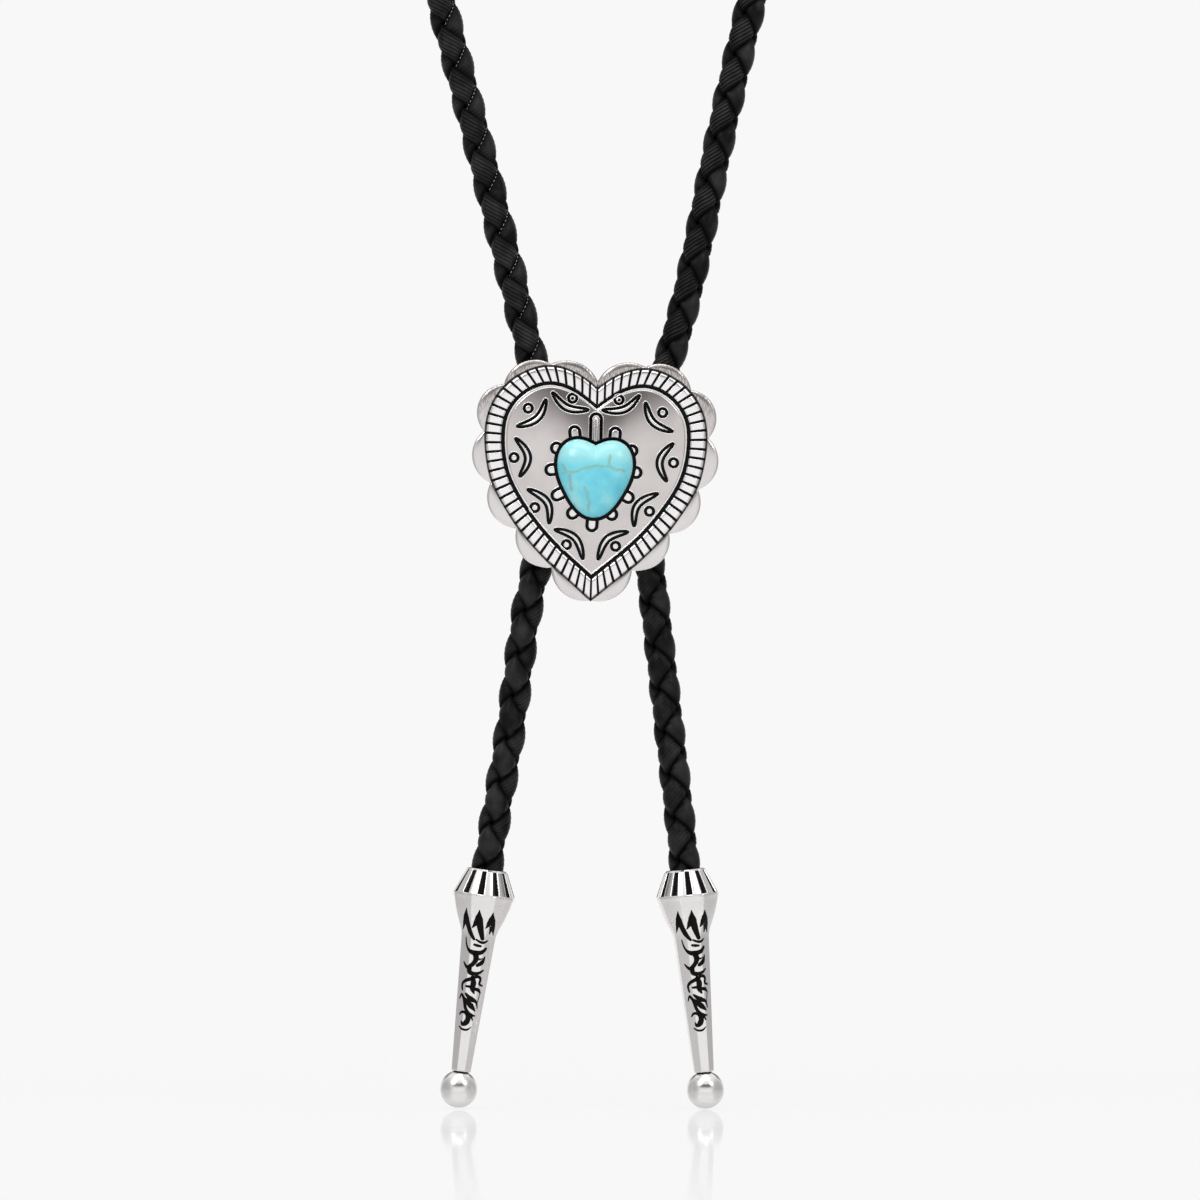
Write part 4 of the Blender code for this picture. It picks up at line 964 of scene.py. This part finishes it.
def tipShell(tip):
    # rings of points down the profile, from the socket's bottom over the rim and crown to the ball's foot
    t = tipShape
    crown, neck = t["crownHeight"], t["crownHeight"] + t["coneHeight"]
    end = neck + t["taperHeight"]
    low = end + t["grooveHeight"]
    ballTop = math.asin(t["groove"] * t["ballNeck"] / t["ball"])
    centre = low + t["ball"] * math.cos(ballTop)
    # profile: depth, radius, a mark for enamel, share of the facets, depth of the slots
    m = t["slotMargin"]
    rows = [(t["socketDepth"], 0.0, 1, 0, 0), (t["socketDepth"], t["socket"], 1, 0, 0),
            (0.25, t["socket"], 1, 0, 0), (0.08, t["socket"] + 0.04, 0, 0, 0),
            (0.0, t["socket"] + 0.14, 0, 0, 0), (0.0, t["rim"] - 0.14, 0, 0, 0),
            (0.05, t["rim"] - 0.02, 0, 0, 0)]
    for depth in (m - 0.02, m, m + 0.05, 1.2, 2.0, 2.8, 3.6, crown - m - 0.05, crown - m, crown - m + 0.02):
        cut = 1.0 if m - 0.01 < depth < crown - m + 0.01 else 0.0
        rows.append((depth, float(plainRadius(depth)), 0, float(facetShare(depth)), cut))
    rows.append((crown - 0.08, float(plainRadius(crown - 0.08)), 0, 0.2, 0))
    rows.append((crown + 0.05, t["shoulder"] - 0.03, 0, 0.25, 0))
    cone, taper = np.linspace(crown + 0.3, neck - 1.2, 12), np.linspace(neck + 1.4, end - 0.5, 24)
    for depth in np.concatenate([cone, np.linspace(neck - 1.0, neck + 1.0, 11), taper, [end - 0.15]]):
        rows.append((float(depth), float(plainRadius(depth)), 0, float(facetShare(depth)), 0))
    rows += [(end - 0.02, t["end"] - 0.05, 0, 0.9, 0), (end, t["end"] - 0.14, 0, 0.9, 0),
             (end + 0.01, t["end"] - 0.16, 1, 0.9, 0), (end + 0.04, t["groove"], 1, 0, 0),
             (low - 0.05, t["groove"], 1, 0, 0), (low - 0.04, t["groove"], 0, 0, 0)]
    for angle in np.linspace(ballTop, math.pi, 56):
        rows.append((centre - t["ball"] * math.cos(angle), t["ball"] * math.sin(angle), 0, 0, 0))
    rows = np.array(rows)
    depth, radius, mark, share, cut = (rows[:, i : i + 1] for i in range(5))
    turn = np.linspace(0, 2 * math.pi, t["columns"], endpoint=False)
    # columns gather at the slots' edges, so that the enamel ends sharply
    wedge = 2 * math.pi / t["slots"]
    perSlot = t["columns"] // t["slots"]
    spot = (np.arange(t["columns"]) % perSlot) / perSlot
    slotShare = t["slotHalf"] / t["slotRadius"] / wedge
    grouped = np.interp(spot, (0.0, 0.25, 0.2999, 0.7001, 0.75, 1.0),
                        (0.0, slotShare, slotShare + 0.01, 1 - slotShare - 0.01, 1 - slotShare, 1.0))
    turn = turn - spot * wedge + grouped * wedge + math.radians(t["slotTurn"])
    inSlot = (np.minimum(grouped, 1 - grouped) <= slotShare + 1e-6)[None, :]
    land = np.abs(2 * grouped - 1)[None, :]
    reach = radius * facet(turn[None, :], share)
    reach = reach - cut * inSlot * t["slotDepth"] + cut * (1 - inSlot) * t["landCrown"] * (1 - land**6)
    turn = turn + math.radians(tip["turned"])
    fall = -np.broadcast_to(depth, reach.shape)
    points = np.stack([reach * np.sin(turn), -reach * np.cos(turn), fall], axis=-1)
    return patch(hangTip(points, tip), False, True, enamel=np.maximum(mark, cut * inSlot), worn=0.0,
                 bright=t["bright"])


# Enamel drawing on a tip's front, in mm sideways along the surface and down from the rim, and the half
# width at each point. A common scroll: three flames of two tongues each, then curls round plain leaves.
tipDrawing = {
    "flameWeight": 1.45, "curlWeight": 1.22,  # the half widths are times these
    "pointSpacing": 0.12, "fewestPoints": 14,
    "flames": (
        (((-3.1, 7.4), (-3.2, 8.8), (-3.35, 10.0), (-3.7, 11.4)), (0.04, 0.34, 0.30, 0.05)),
        (((-3.1, 7.4), (-2.9, 9.2), (-2.3, 10.6), (-1.75, 11.6), (-0.75, 12.9)),
         (0.04, 0.42, 0.36, 0.34, 0.18)),
        (((-0.42, 7.4), (-0.45, 8.8), (-0.8, 9.9), (-1.4, 10.9)), (0.04, 0.42, 0.36, 0.05)),
        (((-0.42, 7.4), (-0.2, 9.2), (0.2, 10.8), (0.8, 12.6)), (0.04, 0.50, 0.44, 0.28)),
        (((2.25, 7.6), (2.1, 8.9), (1.7, 9.8), (1.15, 10.7)), (0.04, 0.40, 0.34, 0.05)),
        (((2.25, 7.6), (2.5, 9.2), (2.8, 10.4), (3.2, 11.8)), (0.04, 0.42, 0.36, 0.05)),
        (((2.0, 10.3), (2.3, 10.9), (2.15, 11.6)), (0.10, 0.24, 0.10)),
    ),
    "curls": (
        (((-2.6, 12.8), (-1.9, 14.6), (-0.9, 15.3), (-0.2, 15.4), (1.05, 15.1), (1.8, 14.4)),
         (0.10, 0.18, 0.36, 0.42, 0.32, 0.24)),
        (((-0.3, 12.95), (1.0, 13.35), (2.0, 12.9)), (0.16, 0.24, 0.10)),
        (((-0.55, 13.9), (0.06, 14.0), (0.7, 14.05)), (0.20, 0.24, 0.18)),
        (((-0.2, 15.5), (0.1, 16.4), (-0.2, 17.2), (-1.0, 18.05)), (0.44, 0.46, 0.36, 0.34)),
        (((1.85, 15.9), (1.4, 16.9), (0.5, 17.6)), (0.10, 0.36, 0.28)),
        (((0.1, 16.2), (0.8, 16.45), (1.4, 16.2)), (0.20, 0.16, 0.05)),
        (((-2.4, 17.3), (-1.7, 18.0), (-0.8, 18.4)), (0.12, 0.24, 0.30)),
        (((-1.0, 18.05), (-0.8, 18.95), (0.3, 19.2), (1.85, 18.4)), (0.34, 0.38, 0.30, 0.14)),
        (((-1.9, 22.4), (-2.05, 21.2), (-1.3, 20.6), (-0.15, 20.15)), (0.16, 0.22, 0.28, 0.32)),
        (((-0.1, 19.95), (0.2, 20.95), (0.15, 22.0), (0.55, 22.75)), (0.34, 0.48, 0.42, 0.16)),
        (((0.1, 20.1), (0.8, 19.65), (1.5, 20.1), (1.35, 20.9), (2.1, 21.25)),
         (0.24, 0.26, 0.24, 0.22, 0.16)),
        (((0.6, 22.0), (1.4, 22.15), (1.9, 22.65)), (0.28, 0.30, 0.12)),
        (((-1.1, 21.65), (-0.2, 21.65)), (0.18, 0.24)),
        (((-1.0, 23.0), (0.15, 23.9), (1.1, 24.3), (1.65, 25.5)), (0.18, 0.44, 0.24, 0.08)),
        (((-2.0, 23.15), (-0.9, 24.2), (0.3, 25.15), (1.15, 26.0)), (0.14, 0.34, 0.46, 0.12)),
        (((-2.35, 24.0), (-1.95, 23.2), (-1.35, 23.9), (-0.5, 26.0), (0.5, 26.8), (1.35, 26.9)),
         (0.12, 0.18, 0.22, 0.28, 0.28, 0.10)),
        (((-1.85, 26.9), (-1.5, 26.5), (-0.6, 26.5), (0.0, 27.25), (-0.2, 28.2), (-0.9, 28.6),
          (-1.2, 28.15)),
         (0.14, 0.20, 0.26, 0.42, 0.46, 0.32, 0.12)),
        (((0.55, 26.9), (0.9, 27.75)), (0.22, 0.10)),
        (((-1.6, 29.1), (-0.8, 29.55), (0.15, 29.55), (0.8, 29.0)), (0.10, 0.18, 0.18, 0.06)),
        (((1.85, 22.8), (1.5, 24.45)), (0.08, 0.06)),
    ),
}


def drawingShells(tip):
    # each stroke is an inlay whose half width follows the drawing, a hair over the tip's surface; its rings
    # are close, so that it follows the tip's soft edges and nothing comes through
    made = []
    steps = [(0.0, -0.12, 1), (0.015, 0.04, 1)]
    steps += [(inward, 0.05, 1) for inward in (0.1, 0.2, 0.3, 0.42, 9.0)]
    strokes = [(places, np.array(widths) * tipDrawing[weight])
               for kind, weight in (("flames", "flameWeight"), ("curls", "curlWeight"))
               for places, widths in tipDrawing[kind]]
    for places, widths in strokes:
        line = smoothCurve(places, 80)
        marks = distanceAlong(np.array(places))
        count = max(tipDrawing["fewestPoints"], int(distanceAlong(line)[-1] / tipDrawing["pointSpacing"]))
        at = np.linspace(0, 1, count)
        middle = pointsAt(line, at * distanceAlong(line)[-1])
        reach = np.interp(at, marks / marks[-1], widths)
        flat, level, enamel = inlay(middle * (1, -1), reach, steps, surface=lambda x, z: 0 * x)
        points = hangTip(onTipFront(flat, level, tip), tip)
        made.append(patch(points, False, True, enamel=enamel, worn=0.0, bright=0.0))
    return made


for label, tip in tips.items():
    name = f"castTip{label.capitalize()}"
    tip["piece"] = makePiece(name, [tipShell(tip)], silver, nodes=[f"tip_{label}"])
    tip["drawing"] = makePiece(name + "Scroll", drawingShells(tip), silver,
                               nodes=[f"tip_{label}"])
print("tips made")


# Clip: nickel-plated steel, pressed and bent. It keeps its CAD shape and gets a plain satin metal.
clipLook = {
    "nickel": "#b9b6b0", "rubbed": "#d6d4cf",
    "roughness": (0.20, 0.38),
    "markScale": 6000.0, "markStretch": 0.05,  # brush marks, about 0.17 mm apart and twenty times as long
    "bump": 0.2, "bumpDepth": 0.00002,
}


def clipMaterial():
    look = clipLook
    made, tree, shader = newMaterial("nickel-plated steel", {"Metallic": 1.0})
    place = addNode(tree, "TexCoord", out="Object")
    brushed = addNode(tree, "Mapping", {"Scale": (look["markStretch"], 1.0, 1.0)}, {"Vector": place})
    marks = addNode(tree, "TexNoise", {"Scale": look["markScale"], "Detail": 3.0}, {"Vector": brushed})
    tone = addNode(tree, "Mix", {"data_type": "RGBA", 6: look["nickel"], 7: look["rubbed"]}, {0: marks},
                   out=2)
    tree.links.new(tone, shader.inputs["Base Color"])
    rough = addNode(tree, "MapRange", {"To Min": look["roughness"][0], "To Max": look["roughness"][1]},
                    {"Value": marks})
    tree.links.new(rough, shader.inputs["Roughness"])
    bump = addNode(tree, "Bump", {"Strength": look["bump"], "Distance": look["bumpDepth"]},
                   {"Height": marks})
    tree.links.new(bump, shader.inputs["Normal"])
    return made


nickel = clipMaterial()
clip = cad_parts["back_clip"]
for place in clip.material_slots:
    place.material = nickel


# floor, just under the balls: pale satin board whose edge fades out, so that it has no horizon
floorLook = {
    "middle": -0.12,           # y under the hanging tie, in metres, as the sizes of the floor are
    "radius": 0.42, "clear": 0.04, "fadeEnd": 0.97,  # where it starts to fade, and where it is gone
    "cover": 0.5, "tone": "#dedede", "roughness": 0.06, "specular": 0.4, "glow": 0.065,
    "under": 0.0001, "sides": 96, "rings": 12, "hole": 0.00001, "firstRing": 0.05,
}


def floorMaterial():
    look = floorLook
    made, tree, shader = newMaterial("white satin board", {
        "Base Color": look["tone"], "Roughness": look["roughness"],
        "Specular IOR Level": look["specular"], "Emission Color": (1.0, 1.0, 1.0, 1.0),
        "Emission Strength": look["glow"]})
    place = addNode(tree, "TexCoord", out="Object")
    centred = addNode(tree, "Mapping", {"Location": (0.0, -look["middle"], 0.0), "Scale": (1.0, 1.0, 0.0)},
                      {"Vector": place})
    away = addNode(tree, "VectorMath", {"operation": "LENGTH"}, {0: centred}, out="Value")
    fade = addNode(tree, "MapRange", {"interpolation_type": "SMOOTHSTEP", "From Min": look["clear"],
                                      "From Max": look["radius"] * look["fadeEnd"], "To Min": look["cover"],
                                      "To Max": 0.0}, {"Value": away})
    tree.links.new(fade, shader.inputs["Alpha"])
    return made


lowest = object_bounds()[0][2]
floorMesh = bpy.data.meshes.new("floor")
turn = np.linspace(0, 2 * math.pi, floorLook["sides"], endpoint=False)
rings = np.concatenate([[floorLook["hole"]], np.linspace(floorLook["firstRing"], floorLook["radius"],
                                                         floorLook["rings"])])[:, None]
disc = np.stack([rings * np.cos(turn), floorLook["middle"] + rings * np.sin(turn),
                 np.full((len(rings), len(turn)), lowest - floorLook["under"])], axis=-1).reshape(-1, 3)
floorMesh.from_pydata(disc.tolist(), [], gridFaces(len(rings), len(turn), False, True).tolist())
floorMesh.materials.append(floorMaterial())
floorPiece = bpy.data.objects.new("floor", floorMesh)
bpy.context.collection.objects.link(floorPiece)


# light: a white studio with soft boxes; a darker band of ceiling round the top lamp, which opens to the
# sides, and a grey flag at each side give the silver its greys
studio = {
    "worldTone": "#f8f8f8", "worldLight": 0.95, "ceiling": "#5c5a57",
    # heights of a direction, 0 level and 1 straight up, between which the dark sets in and the lamp does
    "ceilingFrom": (0.12, 0.42), "lampFrom": (0.54, 0.66),
    # the same to either side: where the flags set in, and where the ceiling opens
    "flagFrom": (0.45, 0.92), "flagShare": 0.55, "openFrom": (0.45, 0.70), "openShare": 0.25,
    # name: place, aim, width, height, power
    "boxes": {
        "keyLeft": ((-0.75, -1.0, 0.62), (0, -0.12, -0.32), 0.45, 0.5, 3.6),
        "fillRight": ((0.80, -0.9, 0.45), (0, -0.12, -0.33), 0.4, 0.45, 1.6),
        "topSoft": ((0.0, -0.35, 0.75), (0, -0.12, -0.3), 0.8, 0.5, 3.0),
    },
}
world = bpy.data.worlds.new("white studio")
world.use_nodes = True
bpy.context.scene.world = world
tree = world.node_tree
tree.nodes.clear()
direction = addNode(tree, "TexCoord", out="Generated")
axes = addNode(tree, "SeparateXYZ", None, {0: direction}, out=None)
sideways = addNode(tree, "Math", {"operation": "ABSOLUTE"}, {0: axes.outputs["X"]})
dusk, lamp, flags, opening = (
    addNode(tree, "MapRange", {"interpolation_type": "SMOOTHSTEP", "From Min": studio[span][0],
                               "From Max": studio[span][1], "To Min": first, "To Max": last},
            {"Value": source})
    for span, source, first, last in (
        ("ceilingFrom", axes.outputs["Z"], 0.0, 1.0), ("lampFrom", axes.outputs["Z"], 1.0, 0.0),
        ("flagFrom", sideways, 0.0, studio["flagShare"]), ("openFrom", sideways, 1.0, studio["openShare"])))
ceiling = addNode(tree, "Math", {"operation": "MULTIPLY"}, {0: dusk, 1: lamp})
band = addNode(tree, "Math", {"operation": "MULTIPLY"}, {0: ceiling, 1: opening})
shade = addNode(tree, "Math", {"operation": "MAXIMUM"}, {0: band, 1: flags})
tone = addNode(tree, "Mix", {"data_type": "RGBA", 6: studio["worldTone"], 7: studio["ceiling"]}, {0: shade},
               out=2)
seen = addNode(tree, "Background", {"Color": studio["worldTone"]})
lit = addNode(tree, "Background", {"Strength": studio["worldLight"]}, {"Color": tone})
straight = addNode(tree, "LightPath", out="Is Camera Ray")
both = addNode(tree, "MixShader", None, {0: straight, 1: lit, 2: seen})
addNode(tree, "OutputWorld", None, {"Surface": both}, out=None)
for name, (place, aim, width, height, power) in studio["boxes"].items():
    data = bpy.data.lights.new(name, "AREA")
    data.shape, data.size, data.size_y, data.energy = "RECTANGLE", width, height, power
    box = bpy.data.objects.new(name, data)
    box.location = place
    box.rotation_euler = (Vector(aim) - Vector(place)).to_track_quat("-Z", "Y").to_euler()
    bpy.context.collection.objects.link(box)
print("floor and lights set")
